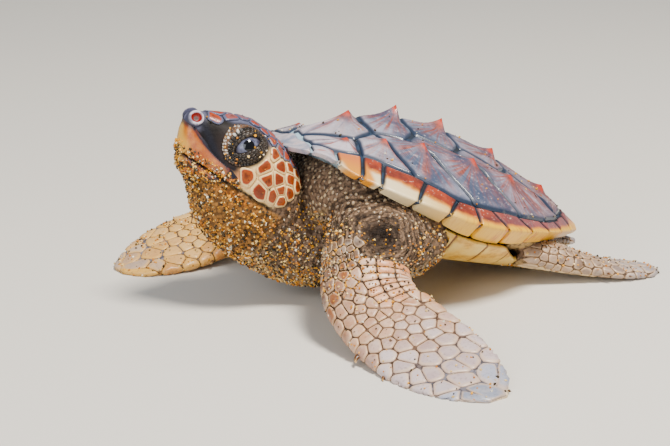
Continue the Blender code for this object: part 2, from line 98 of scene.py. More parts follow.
# %% A mesh from arrays
def sheet_faces(rows, cols, wrap=False):
    """Four-cornered faces of a rows x cols grid of points, closed sideways if wrap."""
    i, j = np.meshgrid(np.arange(rows - 1), np.arange(cols if wrap else cols - 1), indexing="ij")
    k = (j + 1) % cols
    return np.stack([i * cols + j, i * cols + k, (i + 1) * cols + k, (i + 1) * cols + j], -1).reshape(-1, 4)


def make_mesh(name, points, faces, look=None, closed=False):
    """A mesh object from points in mm and a list of face arrays. Where the pieces are closed, their
    faces are turned to point outwards."""
    faces = [np.asarray(f) for f in faces]
    corners = np.concatenate([f.ravel() for f in faces]).astype(np.int32)
    sizes = np.concatenate([np.full(len(f), f.shape[1]) for f in faces])
    mesh = bpy.data.meshes.new(name)
    mesh.vertices.add(len(points))
    mesh.vertices.foreach_set("co", place(points).astype(np.float32).ravel())
    mesh.loops.add(len(corners))
    mesh.loops.foreach_set("vertex_index", corners)
    mesh.polygons.add(len(sizes))
    mesh.polygons.foreach_set("loop_start", (np.cumsum(sizes) - sizes).astype(np.int32))
    mesh.update(calc_edges=True)
    mesh.validate()
    if closed:
        work = bmesh.new()
        work.from_mesh(mesh)
        bmesh.ops.recalc_face_normals(work, faces=work.faces)
        work.to_mesh(mesh)
        work.free()
    mesh.shade_smooth()
    obj = bpy.data.objects.new(name, mesh)
    bpy.context.scene.collection.objects.link(obj)
    if look:
        mesh.materials.append(look)
    return obj


def tube(rings):
    """Points and faces of a closed tube from rings (n, m, 3), with a middle point at each end."""
    n, m = rings.shape[:2]
    points = np.concatenate([rings.reshape(-1, 3), [rings[0].mean(0), rings[-1].mean(0)]])
    j = np.arange(m)
    k = (j + 1) % m
    start = np.stack([np.full(m, n * m), k, j], -1)
    end = np.stack([np.full(m, n * m + 1), (n - 1) * m + j, (n - 1) * m + k], -1)
    return points, [sheet_faces(n, m, wrap=True), start, end]


def write_attribute(obj, name, values, kind="FLOAT_COLOR"):
    """Stores a number, vector or colour for every point of a mesh."""
    layer = obj.data.attributes.new(name, kind, "POINT")
    values = np.asarray(values, np.float32)
    if kind == "FLOAT_COLOR":
        values = np.concatenate([values, np.ones((len(values), 4 - values.shape[1]), np.float32)], 1)
        layer.data.foreach_set("color", values.ravel())
    else:
        layer.data.foreach_set("vector" if kind == "FLOAT_VECTOR" else "value", values.ravel())


def write_bake_map(obj, uv):
    """Stores the map that the looks are baked on, from a (u, v) for every point."""
    corners = np.empty(len(obj.data.loops), np.int32)
    obj.data.loops.foreach_get("vertex_index", corners)
    layer = obj.data.uv_layers.new(name="OFBake")
    layer.data.foreach_set("uv", uv[corners].astype(np.float32).ravel())


def baked(obj):
    """The mesh of an object with its modifiers applied."""
    mesh = bpy.data.meshes.new_from_object(obj.evaluated_get(bpy.context.evaluated_depsgraph_get()))
    obj.modifiers.clear()
    return mesh


def read_points(mesh):
    """A mesh's points, in mm from the floor below mid shell."""
    flat = np.empty(len(mesh.vertices) * 3, np.float32)
    mesh.vertices.foreach_get("co", flat)
    return flat.reshape(-1, 3).astype(float) * 1000 + REST


# %% [markdown]
# ## The shell's form
# A loggerhead's carapace is a heart-shaped dome with a keel of backward-leaning spines.
# It is worked out from two numbers: s runs from the nape (0) to the tail (1), and t runs
# from the left rim (-1) over the keel (0) to the right rim (1).

# %% The dome
LENGTH = 92.0
PITCH, ROLL, LIFT = 13.5, -5.0, 19.0  # degrees up in front, degrees (less than 0 is up on the left), mm
NAPE_NOTCH = 1.6  # mm by which the front edge is drawn in over the nape
STATION = [0.00, 0.05, 0.12, 0.22, 0.34, 0.46, 0.58, 0.70, 0.82, 0.92, 1.00]
HALF_WIDTH = [0.122, 0.230, 0.309, 0.366, 0.392, 0.386, 0.356, 0.298, 0.206, 0.112, 0.022]
RIM_HEIGHT = [0.116, 0.120, 0.086, 0.058, 0.033, 0.010, 0.002, 0.001, -0.001, -0.001, -0.002]
KEEL_HEIGHT = [0.114, 0.140, 0.171, 0.204, 0.225, 0.217, 0.192, 0.151, 0.101, 0.054, 0.008]
KEEL_SPINES = [(0.212, 1.7), (0.352, 2.9), (0.500, 2.7), (0.678, 1.9), (0.862, 1.4)]
SIDE_SPINES = [(0.145, 0.9), (0.248, 1.2), (0.358, 1.4), (0.522, 1.4), (0.660, 1.1)]
SIDE_KEEL = 0.50
RIM_SEAMS = [0.035, 0.105, 0.185, 0.28, 0.375, 0.475, 0.58, 0.68, 0.77, 0.85, 0.925, 1.0]


def spine_row(s, across, spines, spread):
    """height (1 - gap/0.075)^2.2 ahead of each tip and (1 - gap/0.018) behind it, times
    (1 - across/spread)^1.3 to the sides."""
    total = np.zeros(np.broadcast(s, across).shape)
    for spot, height in spines:
        ahead = np.clip(1 - (spot - s) / 0.075, 0, 1) ** 2.2 * (s <= spot)
        behind = np.clip(1 - (s - spot) / 0.018, 0, 1) * (s > spot)
        total = np.maximum(total, height * (ahead + behind) * np.clip(1 - across / spread, 0, 1) ** 1.3)
    return total


def half_width(s):
    """Half the shell's width: the outline, plus a tooth that grows backwards on each rim plate."""
    seams = np.array([0.0] + RIM_SEAMS)
    i = np.clip(np.searchsorted(seams, s, side="left") - 1, 0, len(seams) - 2)
    along = (s - seams[i]) / (seams[i + 1] - seams[i])
    tooth = 1.1 * np.clip((s - 0.35) / 0.4, 0, 1) * (along**2 - 0.35)
    return smooth(s, STATION, HALF_WIDTH) * LENGTH + tooth


def dome(s, t, spines=True):
    """Height over the rim's level: rim + (keel - rim)(1 - |t|^1.65), with low keels and spines on top."""
    t = np.abs(t)
    rim, keel = smooth(s, STATION, RIM_HEIGHT) * LENGTH, smooth(s, STATION, KEEL_HEIGHT) * LENGTH
    height = rim + (keel - rim) * (1 - t**1.65)
    ridge = 0.8 * np.clip(1 - t / 0.10, 0, 1) + 0.6 * np.clip(1 - np.abs(t - SIDE_KEEL) / 0.12, 0, 1)
    height = height + ridge * np.clip(np.minimum(s, 1 - s) / 0.12, 0, 1)
    if spines:
        height = height + spine_row(s, t, KEEL_SPINES, 0.09)
        height = height + spine_row(s, np.abs(t - SIDE_KEEL), SIDE_SPINES, 0.10)
    return height


def shell_turn():
    """The shell's turn: about y by the pitch, after about x by the roll."""
    pitch, roll = math.radians(PITCH), math.radians(ROLL)
    about_y = [[math.cos(pitch), 0, math.sin(pitch)], [0, 1, 0], [-math.sin(pitch), 0, math.cos(pitch)]]
    about_x = [[1, 0, 0], [0, math.cos(roll), -math.sin(roll)], [0, math.sin(roll), math.cos(roll)]]
    return np.array(about_y) @ np.array(about_x)


def tip_shell(points):
    """Rolls the shell up on the left, pitches it up in front, and lifts it."""
    return points @ shell_turn().T + [0, 0, LIFT]


def shell_x(s, t):
    """x = (s - 1/2) LENGTH, and ahead of s = 0.1 up to a notch of NAPE_NOTCH (1 - t^2) further back."""
    nape = NAPE_NOTCH * (1 - np.minimum(np.abs(t), 1) ** 2) * np.clip(1 - s / 0.1, 0, 1)
    return (s - 0.5) * LENGTH + nape


def shell_point(s, t, spines=True):
    """The carapace surface: x = shell_x(s, t), y = t half_width(s), z = dome(s, t)."""
    return tip_shell(np.stack([shell_x(s, t), t * half_width(s), dome(s, t, spines)], -1))


# %% [markdown]
# ## The soft body's form
# Head and neck are one tapering body, and each limb is another. A row of the table is one
# section: where it is, how wide and how thick. Smooth curves through the rows fill in the rest.

# %% Sections of the head and neck
SNOUT = np.array([-64.9, -3.0, 48.1])
HEAD_PITCH = math.radians(36.0)
HEAD_NECK = [  # top (back, up), bottom (back, up), half width, widest level
    (-1.3, 1.9, -1.3, -0.4, 1.6, 0.60),
    (-0.6, 2.5, -0.5, -2.2, 2.4, 0.60),
    (0.6, 3.3, 0.6, -4.9, 3.1, 0.58),
    (1.9, 4.0, 1.9, -7.6, 3.7, 0.56),
    (4.3, 5.0, 4.3, -10.8, 4.9, 0.56),
    (7.5, 6.5, 7.5, -12.7, 6.6, 0.58),
    (11.0, 7.8, 11.0, -15.6, 8.7, 0.60),
    (14.5, 8.6, 14.5, -18.7, 10.3, 0.60),
    (18.5, 8.6, 18.5, -21.0, 11.6, 0.62),
    (22.5, 7.8, 23.0, -22.6, 12.5, 0.65),
    (26.3, 6.4, 28.0, -23.0, 12.9, 0.68),
    (30.0, 4.0, 33.2, -22.9, 12.3, 0.70),
    (32.0, 1.4, 38.6, -22.6, 11.2, 0.62),
    (34.6, 0.4, 44.4, -21.6, 11.8, 0.52),
    (38.5, 1.0, 51.0, -18.9, 13.6, 0.46),
    (43.5, 3.0, 57.0, -14.2, 15.0, 0.44),
    (50.0, 7.0, 62.0, -8.5, 13.5, 0.44),
]


HEAD_TURN = np.array([[math.cos(HEAD_PITCH), 0, -math.sin(HEAD_PITCH)], [0, 1, 0],
                      [math.sin(HEAD_PITCH), 0, math.cos(HEAD_PITCH)]])


def head_point(points):
    """Head frame to world: snout + back (cos p, 0, -sin p) + side (0, 1, 0) + up (sin p, 0, cos p)."""
    return SNOUT + points @ HEAD_TURN


def into_head(points):
    """World to head frame, the inverse of head_point."""
    return (points - SNOUT) @ HEAD_TURN.T


def head_sections(places, turn, depth=0.0):
    """For a turn a round each section, from the crown (0) down the right (+) or left (-) side:
    side = wide sin(a)^0.92, and the height goes from the widest level to top or bottom by cos(a)^0.9."""
    table = np.array(HEAD_NECK)
    middle = (table[:, 0:2] + table[:, 2:4]) / 2
    length = np.concatenate([[0], np.cumsum(np.linalg.norm(np.diff(middle, axis=0), axis=1))])
    rows = np.stack([smooth(places, length / length[-1], column) for column in table.T], 1)
    top, bottom, wide, level = rows[:, None, 0:2], rows[:, None, 2:4], rows[:, None, 4], rows[:, None, 5:6]
    tall = np.linalg.norm(top - bottom, axis=-1, keepdims=True)
    top, bottom = top - (top - bottom) / tall * depth, bottom + (top - bottom) / tall * depth
    centre = bottom + (top - bottom) * level
    up, side = np.cos(turn)[None, :, None], np.sin(turn)[None, :]
    rise = np.abs(up) ** 0.9
    plane = np.where(up > 0, centre + (top - centre) * rise, centre + (bottom - centre) * rise)
    y = (wide - depth) * np.sign(side) * np.abs(side) ** 0.92
    return head_point(np.stack([plane[..., 0], y, plane[..., 1]], -1))


# %% Sections of the limbs and tail
# centre x, y, z, half width, half thickness, direction from the leading to the trailing edge
ARM_LEFT = [
    (-12.0, -14.0, 21.0, 8.5, 7.5, 1.0, -0.6, 0.0),
    (-18.5, -21.5, 20.4, 14.0, 11.9, 1.0, -0.6, -0.25),
    (-27.0, -28.5, 19.4, 12.5, 11.2, 1.0, -0.6, -0.02),
    (-31.8, -34.5, 15.8, 10.6, 8.1, 1.0, -0.35, 0.2),
    (-34.0, -42.0, 11.0, 10.8, 5.6, 1.0, -0.15, 0.26),
    (-31.8, -52.0, 6.8, 11.9, 3.9, 1.0, -0.08, 0.27),
    (-29.6, -63.0, 4.5, 12.3, 2.8, 1.0, -0.08, 0.24),
    (-27.4, -73.0, 2.9, 11.5, 2.0, 1.0, -0.08, 0.18),
    (-24.9, -81.5, 1.5, 8.4, 1.4, 1.0, -0.1, 0.08),
    (-23.2, -87.4, 0.8, 3.0, 0.7, 1.0, -0.1, 0.03),
]
ARM_RIGHT = [
    (-12.0, 14.0, 19.0, 8.5, 7.0, 1.0, 0.6, 0.0),
    (-18.0, 23.0, 18.0, 11.0, 9.8, 0.9, 0.7, -0.1),
    (-22.5, 31.5, 16.0, 10.8, 8.6, 0.75, 0.9, 0.1),
    (-28.0, 38.0, 12.5, 10.5, 6.6, 0.4, 1.0, 0.2),
    (-36.5, 40.0, 9.0, 11.2, 5.0, 0.1, 1.0, 0.26),
    (-46.5, 39.0, 6.3, 12.0, 3.7, 0.0, 1.0, 0.27),
    (-56.5, 37.0, 4.2, 11.8, 2.7, 0.0, 1.0, 0.24),
    (-65.0, 35.0, 2.3, 10.0, 2.0, 0.0, 1.0, 0.16),
    (-70.5, 33.8, 1.1, 6.9, 1.3, 0.05, 1.0, 0.06),
    (-73.2, 33.2, 0.8, 2.6, 0.7, 0.05, 1.0, 0.03),
]
HIND_LEFT = [
    (19.0, -13.0, 9.5, 7.0, 4.6, 0.2, 1.0, 0.0),
    (29.0, -15.5, 7.0, 6.6, 4.0, 0.2, 1.0, 0.0),
    (38.0, -17.0, 4.2, 6.8, 2.9, 0.15, 1.0, 0.0),
    (47.0, -18.0, 2.2, 7.8, 1.9, 0.1, 1.0, 0.0),
    (54.5, -18.5, 1.2, 6.6, 1.3, 0.05, 1.0, 0.0),
    (59.0, -18.5, 0.8, 2.2, 0.7, 0.05, 1.0, 0.0),
]
HIND_RIGHT = [
    (17.0, 13.0, 9.5, 7.0, 4.6, -0.3, 1.0, 0.0),
    (25.0, 17.0, 7.0, 6.6, 4.0, -0.4, 1.0, 0.0),
    (32.0, 21.5, 4.2, 6.8, 2.9, -0.5, 1.0, 0.0),
    (38.5, 26.5, 2.2, 7.6, 1.9, -0.6, 1.0, 0.0),
    (44.0, 31.0, 1.2, 6.4, 1.3, -0.7, 1.0, 0.0),
    (47.5, 34.0, 0.8, 2.2, 0.7, -0.7, 1.0, 0.0),
]
TAIL = [
    (30.0, 0.5, 7.0, 5.0, 3.4, 0, 1, 0),
    (36.0, 0.5, 5.8, 3.6, 2.6, 0, 1, 0),
    (41.5, 0.5, 4.8, 2.0, 1.6, 0, 1, 0),
    (45.0, 0.5, 4.2, 0.8, 0.7, 0, 1, 0),
]
ELBOW = 0.33
SINK = 0.5  # how far a flipper presses into its own thickness at the floor


def limb_sections(rows, places, turn, depth=0.0, sink_from=None):
    """Sections of a limb. For a turn a from the leading edge (0) over the upper side (+) or the
    lower side (-) to the trailing edge: across = -wide cos(a), up = thick sin(a), thinned towards
    the trailing edge by up to 55% where the limb is flat. Nothing goes below the floor."""
    table = np.asarray(rows, float)
    length = np.concatenate([[0], np.cumsum(np.linalg.norm(np.diff(table[:, :3], axis=0), axis=1))])
    fine = np.linspace(0, 1, 60)
    table = np.stack([smooth(fine, length / length[-1], column) for column in table.T], 1)
    along = np.gradient(table[:, :3], axis=0)
    along = unit(along)
    across = table[:, 5:8] - (table[:, 5:8] * along).sum(1, keepdims=True) * along
    across = unit(across)
    top = np.cross(along, across)
    top *= np.sign(top[:, 2:])
    every = np.concatenate([table[:, :5], across, top], 1)
    every = np.stack([np.interp(places, fine, column) for column in every.T], 1)
    wide, thick = every[:, 3:4] - depth, np.maximum(every[:, 4:5] - depth, 0.45)
    share = -np.cos(turn)[None, :]
    taper = 1 - np.clip(1 - thick / wide, 0, 1) * 0.55 * (share + 1) / 2
    y, z = wide * share, thick * np.sin(turn)[None, :] * taper
    rings = every[:, None, :3] + y[..., None] * every[:, None, 5:8] + z[..., None] * every[:, None, 8:11]
    if sink_from is not None:
        sink = SINK * np.clip((places - sink_from) / (1 - sink_from), 0, 1) if sink_from else SINK
        rings[..., 2] -= np.broadcast_to(sink, places.shape)[:, None]
    rings[..., 2] = np.maximum(rings[..., 2], 0.02)
    return rings


# %% The trunk's two ends, inside the shell
def trunk_sections(first, last, count):
    """Sections of the flesh that fills the shell: its width follows the shell's, narrower in front."""
    s = np.linspace(first, last, count)[:, None]
    turn = np.linspace(0, 2 * math.pi, 48, endpoint=False)[None, :]
    narrow = smooth(s, [0.10, 0.16, 0.24, 0.34], [0.42, 0.62, 0.86, 1.0])
    wide = (smooth(s, STATION, HALF_WIDTH) * LENGTH - 4.2) * narrow
    rim, keel = smooth(s, STATION, RIM_HEIGHT) * LENGTH, smooth(s, STATION, KEEL_HEIGHT) * LENGTH
    top, floor = keel - 3.3, -8.0
    middle = rim - 1.2
    y = wide * np.cos(turn)
    up = np.sin(turn)
    z = middle + np.where(up > 0, (top - middle), (middle - floor)) * np.sign(up) * np.abs(up) ** 0.8
    return tip_shell(np.stack([(s - 0.5) * LENGTH + 0 * y, y, z], -1))


# %% [markdown]
# ## Material helpers
# Every finish is a chain of small steps: a mask from a noise or from a number stored on the mesh,
# a blend of two colours by that mask, and a bump from the same masks, so that relief and colour agree.

# %% Short words for shader nodes
def finish(name, roughness=0.5, coat=0.0, coat_roughness=0.2, specular=0.5):
    """A material with its Principled shader's fixed values set, its node tree and that shader."""
    mat = bpy.data.materials.new(name)
    mat.use_nodes = True
    shader = mat.node_tree.nodes["Principled BSDF"]
    for socket, value in (("Roughness", roughness), ("Coat Weight", coat), ("Coat Roughness", coat_roughness),
                          ("Specular IOR Level", specular)):
        shader.inputs[socket].default_value = value
    return mat, mat.node_tree, shader


def node(tree, kind, **inputs):
    """Adds a node. Names with a capital are its sockets, set or linked, and the others its settings."""
    made = tree.nodes.new(kind)
    for key, value in inputs.items():
        if key.islower():
            setattr(made, key, value)
    for key, value in inputs.items():
        if key.islower():
            continue
        socket = made.inputs[key.replace("_", " ")]
        if isinstance(value, bpy.types.NodeSocket):
            tree.links.new(value, socket)
        else:
            socket.default_value = value
    return made


def maths(tree, operation, a, b=0.0, c=0.0):
    """A Math node on up to three numbers or sockets."""
    made = tree.nodes.new("ShaderNodeMath")
    made.operation = operation
    for socket, value in zip(made.inputs, (a, b, c)):
        if isinstance(value, bpy.types.NodeSocket):
            tree.links.new(value, socket)
        else:
            socket.default_value = value
    return made.outputs[0]


def times(tree, a, b):
    """a x b."""
    return maths(tree, "MULTIPLY", a, b)


def ramp(tree, mask, low, high):
    """0 below low and 1 above high, or the other way round if low is the larger."""
    made = node(tree, "ShaderNodeMapRange", Value=mask, interpolation_type="SMOOTHSTEP")
    made.inputs["From Min"].default_value, made.inputs["From Max"].default_value = min(low,
            high), max(low, high)
    if low > high:
        made.inputs["To Min"].default_value, made.inputs["To Max"].default_value = 1.0, 0.0
    return made.outputs["Result"]


def blend(tree, mask, below, above):
    """The colour below where the mask is 0 and the colour above where it is 1."""
    made = tree.nodes.new("ShaderNodeMix")
    made.data_type = "RGBA"
    for index, value in ((0, mask), (6, below), (7, above)):
        if isinstance(value, bpy.types.NodeSocket):
            tree.links.new(value, made.inputs[index])
        else:
            made.inputs[index].default_value = value if index == 0 else (*value[:3], 1)
    return made.outputs[2]


def attribute(tree, name, kind="Color"):
    """A colour or a vector stored on the mesh."""
    return node(tree, "ShaderNodeAttribute", attribute_name=name).outputs[kind]


def parts_of(tree, vector):
    """The three numbers of a vector."""
    made = node(tree, "ShaderNodeSeparateXYZ", Vector=vector)
    return made.outputs["X"], made.outputs["Y"], made.outputs["Z"]


def stored(tree, name):
    """The three numbers stored on the mesh under a name."""
    return parts_of(tree, attribute(tree, name))


def noise(tree, vector, scale, detail=2.0, rough=0.5):
    """Cloudy noise from 0 to 1 on a vector."""
    made = node(tree, "ShaderNodeTexNoise", Vector=vector, Scale=scale, Detail=detail, Roughness=rough)
    return made.outputs["Fac"]


def object_point(tree):
    """Object coordinates, which don't slide when the view turns."""
    return node(tree, "ShaderNodeTexCoord").outputs["Object"]


def bump(tree, shader, height, strength=0.5, distance=0.0003):
    """Relief from a height mask, in metres."""
    made = node(tree, "ShaderNodeBump", Height=height, Strength=strength, Distance=distance)
    tree.links.new(made.outputs["Normal"], shader.inputs["Normal"])


def paint(tree, shader, colour):
    """Gives the shader its colour."""
    tree.links.new(colour, shader.inputs["Base Color"])


def srgb(*rgb):
    """A colour given as 0-255 display values, turned to the linear values that a shader adds up, then
    deepened: 20% darker and 28% further from grey, because the display curve washes colours out."""
    rgb = np.array(rgb) / 255
    linear = np.where(rgb <= 0.04045, rgb / 12.92, ((rgb + 0.055) / 1.055) ** 2.4)
    deep = (linear.mean() + (linear - linear.mean()) * 1.28) * 0.80
    return tuple(float(c) for c in np.clip(deep, 0.0015, 1))


# %% [markdown]
# Horn, scales, pebbles and the beak all look clouded and speckled. That is one effect, so it is one
# node group: it takes a tone and gives a colour and the masks, which each material then goes on with.

# %% The group that mottles a tone
def mottle_group():
    """Color = tone, towards the haze where the cloud noise is high, towards the speck where the grain
    is."""
    group = bpy.data.node_groups.new("mottled horn", "ShaderNodeTree")
    for name, kind in (("Vector", "Vector"), ("Tone", "Color"), ("Haze", "Color"),
                       ("Haze Share", "Float"), ("Speck", "Color"),
                       ("Speck Share", "Float"), ("Cloud Scale", "Float"), ("Grain Scale", "Float")):
        group.interface.new_socket(name, in_out="INPUT", socket_type="NodeSocket" + kind)
    for name, kind in (("Color", "Color"), ("Cloud", "Float"), ("Grain", "Float"), ("Height", "Float")):
        group.interface.new_socket(name, in_out="OUTPUT", socket_type="NodeSocket" + kind)
    given, result = group.nodes.new("NodeGroupInput").outputs, group.nodes.new("NodeGroupOutput").inputs
    cloud = noise(group, given["Vector"], given["Cloud Scale"], 3.0, 0.6)
    grain = noise(group, given["Vector"], given["Grain Scale"], 3.0, 0.6)
    hazed = blend(group, times(group, ramp(group, cloud, 0.35, 0.75), given["Haze Share"]), given["Tone"],
                  given["Haze"])
    specked = blend(group, times(group, ramp(group, grain, 0.52, 0.75), given["Speck Share"]), hazed,
                    given["Speck"])
    for name, value in (("Color", specked), ("Cloud", cloud), ("Grain", grain),
                        ("Height", maths(group, "MULTIPLY_ADD", grain, 0.4, cloud))):
        group.links.new(value, result[name])
    return group


MOTTLED = mottle_group()


def mottled(tree, vector, tone, haze, haze_share, speck, speck_share, cloud_scale=420.0, grain_scale=1500.0):
    """Adds the group to a material: its colour, cloud, grain and height."""
    made = tree.nodes.new("ShaderNodeGroup")
    made.node_tree = MOTTLED
    for socket, value in zip(made.inputs, (vector, tone, haze, haze_share, speck, speck_share,
                                           cloud_scale, grain_scale)):
        if isinstance(value, bpy.types.NodeSocket):
            tree.links.new(value, socket)
        else:
            socket.default_value = (*value, 1) if isinstance(value, tuple) else value
    return [made.outputs[name] for name in ("Color", "Cloud", "Grain", "Height")]


# %% [markdown]
# ## Shell plates
# The carapace is bone covered by horny plates: five along the keel, five on each side, and a row of
# rim plates that fold round under the edge. Each plate grew outwards from one spot, which is its
# spine. So a plate is made in polar form round that spot: rings for the growth rings, rays for the streaks.

# %% Where the seams run
# (s, |t|) of the corners between plates, from the nape backwards
KEEL_SEAMS = [(0.062, 0.14), (0.240, 0.31), (0.368, 0.28), (0.515, 0.28), (0.690, 0.26), (0.938, 0.05)]
KEEL_CORNERS = [(0.178, 0.41), (0.322, 0.41), (0.478, 0.40), (0.640, 0.40), (0.835, 0.52)]
# each side seam from the keel plates out to the rim plates
SIDE_SEAMS = [[(0.178, 0.41), (0.168, 0.66)], [(0.240, 0.31), (0.262, 0.56), (0.298, 0.78)],
              [(0.322, 0.41), (0.384, 0.52), (0.424, 0.69), (0.480, 0.87)],
              [(0.478, 0.40), (0.556, 0.53), (0.590, 0.66), (0.648, 0.88)], [(0.735, 0.36), (0.865, 0.76)]]
INNER_RIM = [(0.0, 0.60), (0.05, 0.62), (0.093, 0.66), (0.130, 0.67), (0.168, 0.66), (0.200, 0.69),
             (0.228, 0.73),
             (0.260, 0.76), (0.295, 0.78), (0.327, 0.81), (0.363, 0.835), (0.392, 0.855), (0.423, 0.868),
             (0.47, 0.875), (0.58, 0.87), (0.64, 0.88), (0.70, 0.885), (0.79, 0.87), (0.85, 0.79),
             (0.895, 0.62), (0.920, 0.40), (0.945, 0.0)]
RIM_INNER = [0.045, 0.105, 0.170, 0.220, 0.325, 0.418, 0.472, 0.530, 0.630, 0.730, 0.820, 0.895, 0.945]
RIM_OUTER = [0.035, 0.085, 0.138, 0.185, 0.280, 0.375, 0.475, 0.580, 0.680, 0.770, 0.850, 0.925, 1.0]
SEAM = 0.28  # mm from a plate's edge to the middle of its seam


def rim_inner_edge(s):
    """The share t at which the rim plates begin, at station s."""
    table = np.array(INNER_RIM)
    return np.interp(s, table[:, 0], table[:, 1])


def keel_plate(i):
    """Corners (s, t) of the i-th keel plate, a hexagon across the middle."""
    front, side, rear = KEEL_SEAMS[i], KEEL_CORNERS[i], KEEL_SEAMS[i + 1]
    right = [front, side, rear] if i < 4 else [front, (0.735, 0.36), (0.862, 0.745), (0.895, 0.61),
                                               (0.920, 0.385), rear]
    right = [(0.062, 0.14), (0.140, 0.33), side, rear] if i == 0 else right
    return [(s, t) for s, t in right] + [(s, -t) for s, t in right[::-1]]


def side_plate(i):
    """Corners (s, t) of the i-th side plate: along the keel plates, out along its rear seam, and back
    along the rim plates and its front seam."""
    rear = SIDE_SEAMS[i]
    if i == 0:
        return [(0.060, 0.16), (0.140, 0.33), *rear, (0.130, 0.67), (0.093, 0.66), (0.050, 0.62),
                (0.050, 0.30)]
    front = SIDE_SEAMS[i - 1]
    inner = {1: [KEEL_SEAMS[1]], 2: [], 3: [KEEL_SEAMS[2]],
             4: [KEEL_SEAMS[3], KEEL_CORNERS[3], KEEL_SEAMS[4]]}[i]
    inner = [p for p in inner if p not in (front[0], rear[0])]
    outer = [(s, float(rim_inner_edge(s))) for s in np.linspace(rear[-1][0], front[-1][0], 6)[1:-1]]
    return [front[0], *inner, *rear, *outer, *front[:0:-1]]


# %% One plate in polar form
def plan(points):
    """(s, t) to a flat plan in mm: s LENGTH along, t half_width(s) across."""
    points = np.asarray(points, float)
    return np.stack([points[..., 0] * LENGTH,
                     points[..., 1] * smooth(points[..., 0], STATION, HALF_WIDTH) * LENGTH], -1)


def unplan(points):
    """The plan in mm back to (s, t)."""
    s = points[..., 0] / LENGTH
    return s, points[..., 1] / np.maximum(smooth(s, STATION, HALF_WIDTH) * LENGTH, 1.0)


def edge_distance(corners, centre, angle):
    """How far a ray from the centre runs to the polygon's edge, at each angle, by crossing it with
    every edge."""
    a, b = corners, np.roll(corners, -1, axis=0)
    ray = np.stack([np.cos(angle), np.sin(angle)], -1)[:, None]
    edge, out = (b - a)[None], (a - centre)[None]
    cross = ray[..., 0] * edge[..., 1] - ray[..., 1] * edge[..., 0]
    cross = np.where(np.abs(cross) < 1e-9, 1e-9, cross)
    far = (out[..., 0] * edge[..., 1] - out[..., 1] * edge[..., 0]) / cross
    share = (out[..., 0] * ray[..., 1] - out[..., 1] * ray[..., 0]) / cross
    hit = (far > 0) & (share >= -1e-6) & (share <= 1 + 1e-6)
    return np.where(hit, far, 1e3).min(1)


def polar_plate(corners, tip, rays, rings, gap):
    """Plan points of a plate. Its outline is rounded by averaging, set back by the gap and walked at even
    distances, and each ring lies at a share of the way from the tip to it. Also each point's share,
    its angle, and its distance in from the edge."""
    corners, tip = plan(corners), plan(tip)
    spacing = np.linspace(0, 1, 721)[:-1] * 2 * math.pi
    reach = edge_distance(corners, tip, spacing)
    ring = tip + reach[:, None] * np.stack([np.cos(spacing), np.sin(spacing)], -1)
    for _ in range(14):
        ring = (np.roll(ring, 1, 0) + 2 * ring + np.roll(ring, -1, 0)) / 4
    walk = np.concatenate([[0], np.cumsum(np.linalg.norm(np.diff(np.concatenate([ring, ring[:1]]),
            axis=0), axis=1))])
    even = np.linspace(0, walk[-1], rays, endpoint=False)
    closed = np.concatenate([ring, ring[:1]])
    edge = np.stack([np.interp(even, walk, closed[:, k]) for k in range(2)], -1)
    tangent = np.roll(edge, -1, 0) - np.roll(edge, 1, 0)
    tangent = unit(tangent)
    edge = edge - gap * np.stack([tangent[:, 1], -tangent[:, 0]], -1)
    share = np.linspace(0, 1, rings + 1)[1:] ** 0.85
    points = tip + share[:, None, None] * (edge - tip)[None]
    reach = np.linalg.norm(edge - tip, axis=1)[None]
    inward = np.abs(((edge - points) * np.stack([tangent[:, 1], -tangent[:, 0]], -1)).sum(-1))
    angle = np.arctan2(edge[:, 1] - tip[1], edge[:, 0] - tip[0])[None] + 0 * inward
    return points, share[:, None] + 0 * reach, angle, inward


def surface_normal(surface, s, t, step=0.004):
    """The unit normal of a surface P(s, t), from the cross product of its two slopes, pointing up."""
    normal = np.cross(surface(s + step, t) - surface(s - step, t),
                      surface(s, t + step) - surface(s, t - step))
    normal = unit(normal)
    return normal * np.where(normal[..., 2:] < 0, -1, 1)


def bare_shell(s, t):
    """The dome without its spines, for a steady normal."""
    return shell_point(s, t, spines=False)


# %% All the keel and side plates
def shell_plate(corners, tip, rays=96, rings=26, seed=0.0):
    """Points, faces and stored numbers of one plate. Over its middle the plate follows the dome, a
    little crowned; over the last 0.75 mm it turns down into the seam; growth rings ripple it by 0.035
    mm."""
    flat, share, angle, inward = polar_plate(corners, tip, rays, rings, SEAM)
    s, t = unplan(flat)
    down = 0.75 * (1 - np.clip(inward / 0.75, 0, 1)) ** 2.2
    ripple = 0.035 * np.sin(inward * 5.2 + 0.6 * np.sin(3 * angle + seed)) * ease(inward, 0.6,
            1.5) * ease(share, 0.08, 0.3)
    lift = 0.10 + 0.16 * (1 - share**2) - down + ripple
    points = shell_point(s, t) + surface_normal(bare_shell, s, t) * lift[..., None]
    s0, t0 = unplan(plan(tip))
    middle = shell_point(s0, t0) + surface_normal(bare_shell, s0, t0) * 0.3
    points = np.concatenate([points.reshape(-1, 3), middle.reshape(1, 3)])
    j = np.arange(rays)
    fan = np.stack([np.full(rays, rays * rings), j, (j + 1) % rays], -1)
    facts = np.stack([share, np.cos(angle), np.sin(angle), inward], -1).reshape(-1, 4)
    facts = np.concatenate([facts, [[0, 0, 0, 9]]])
    return points, [sheet_faces(rings, rays, wrap=True)[:, ::-1], fan], facts


def join(pieces):
    """Many (points, faces, facts) made one set of arrays."""
    offset, points, faces, facts = 0, [], [], []
    for p, f, k in pieces:
        points.append(p)
        faces += [np.asarray(x) + offset for x in f]
        facts.append(k)
        offset += len(p)
    return np.concatenate(points), faces, np.concatenate(facts)


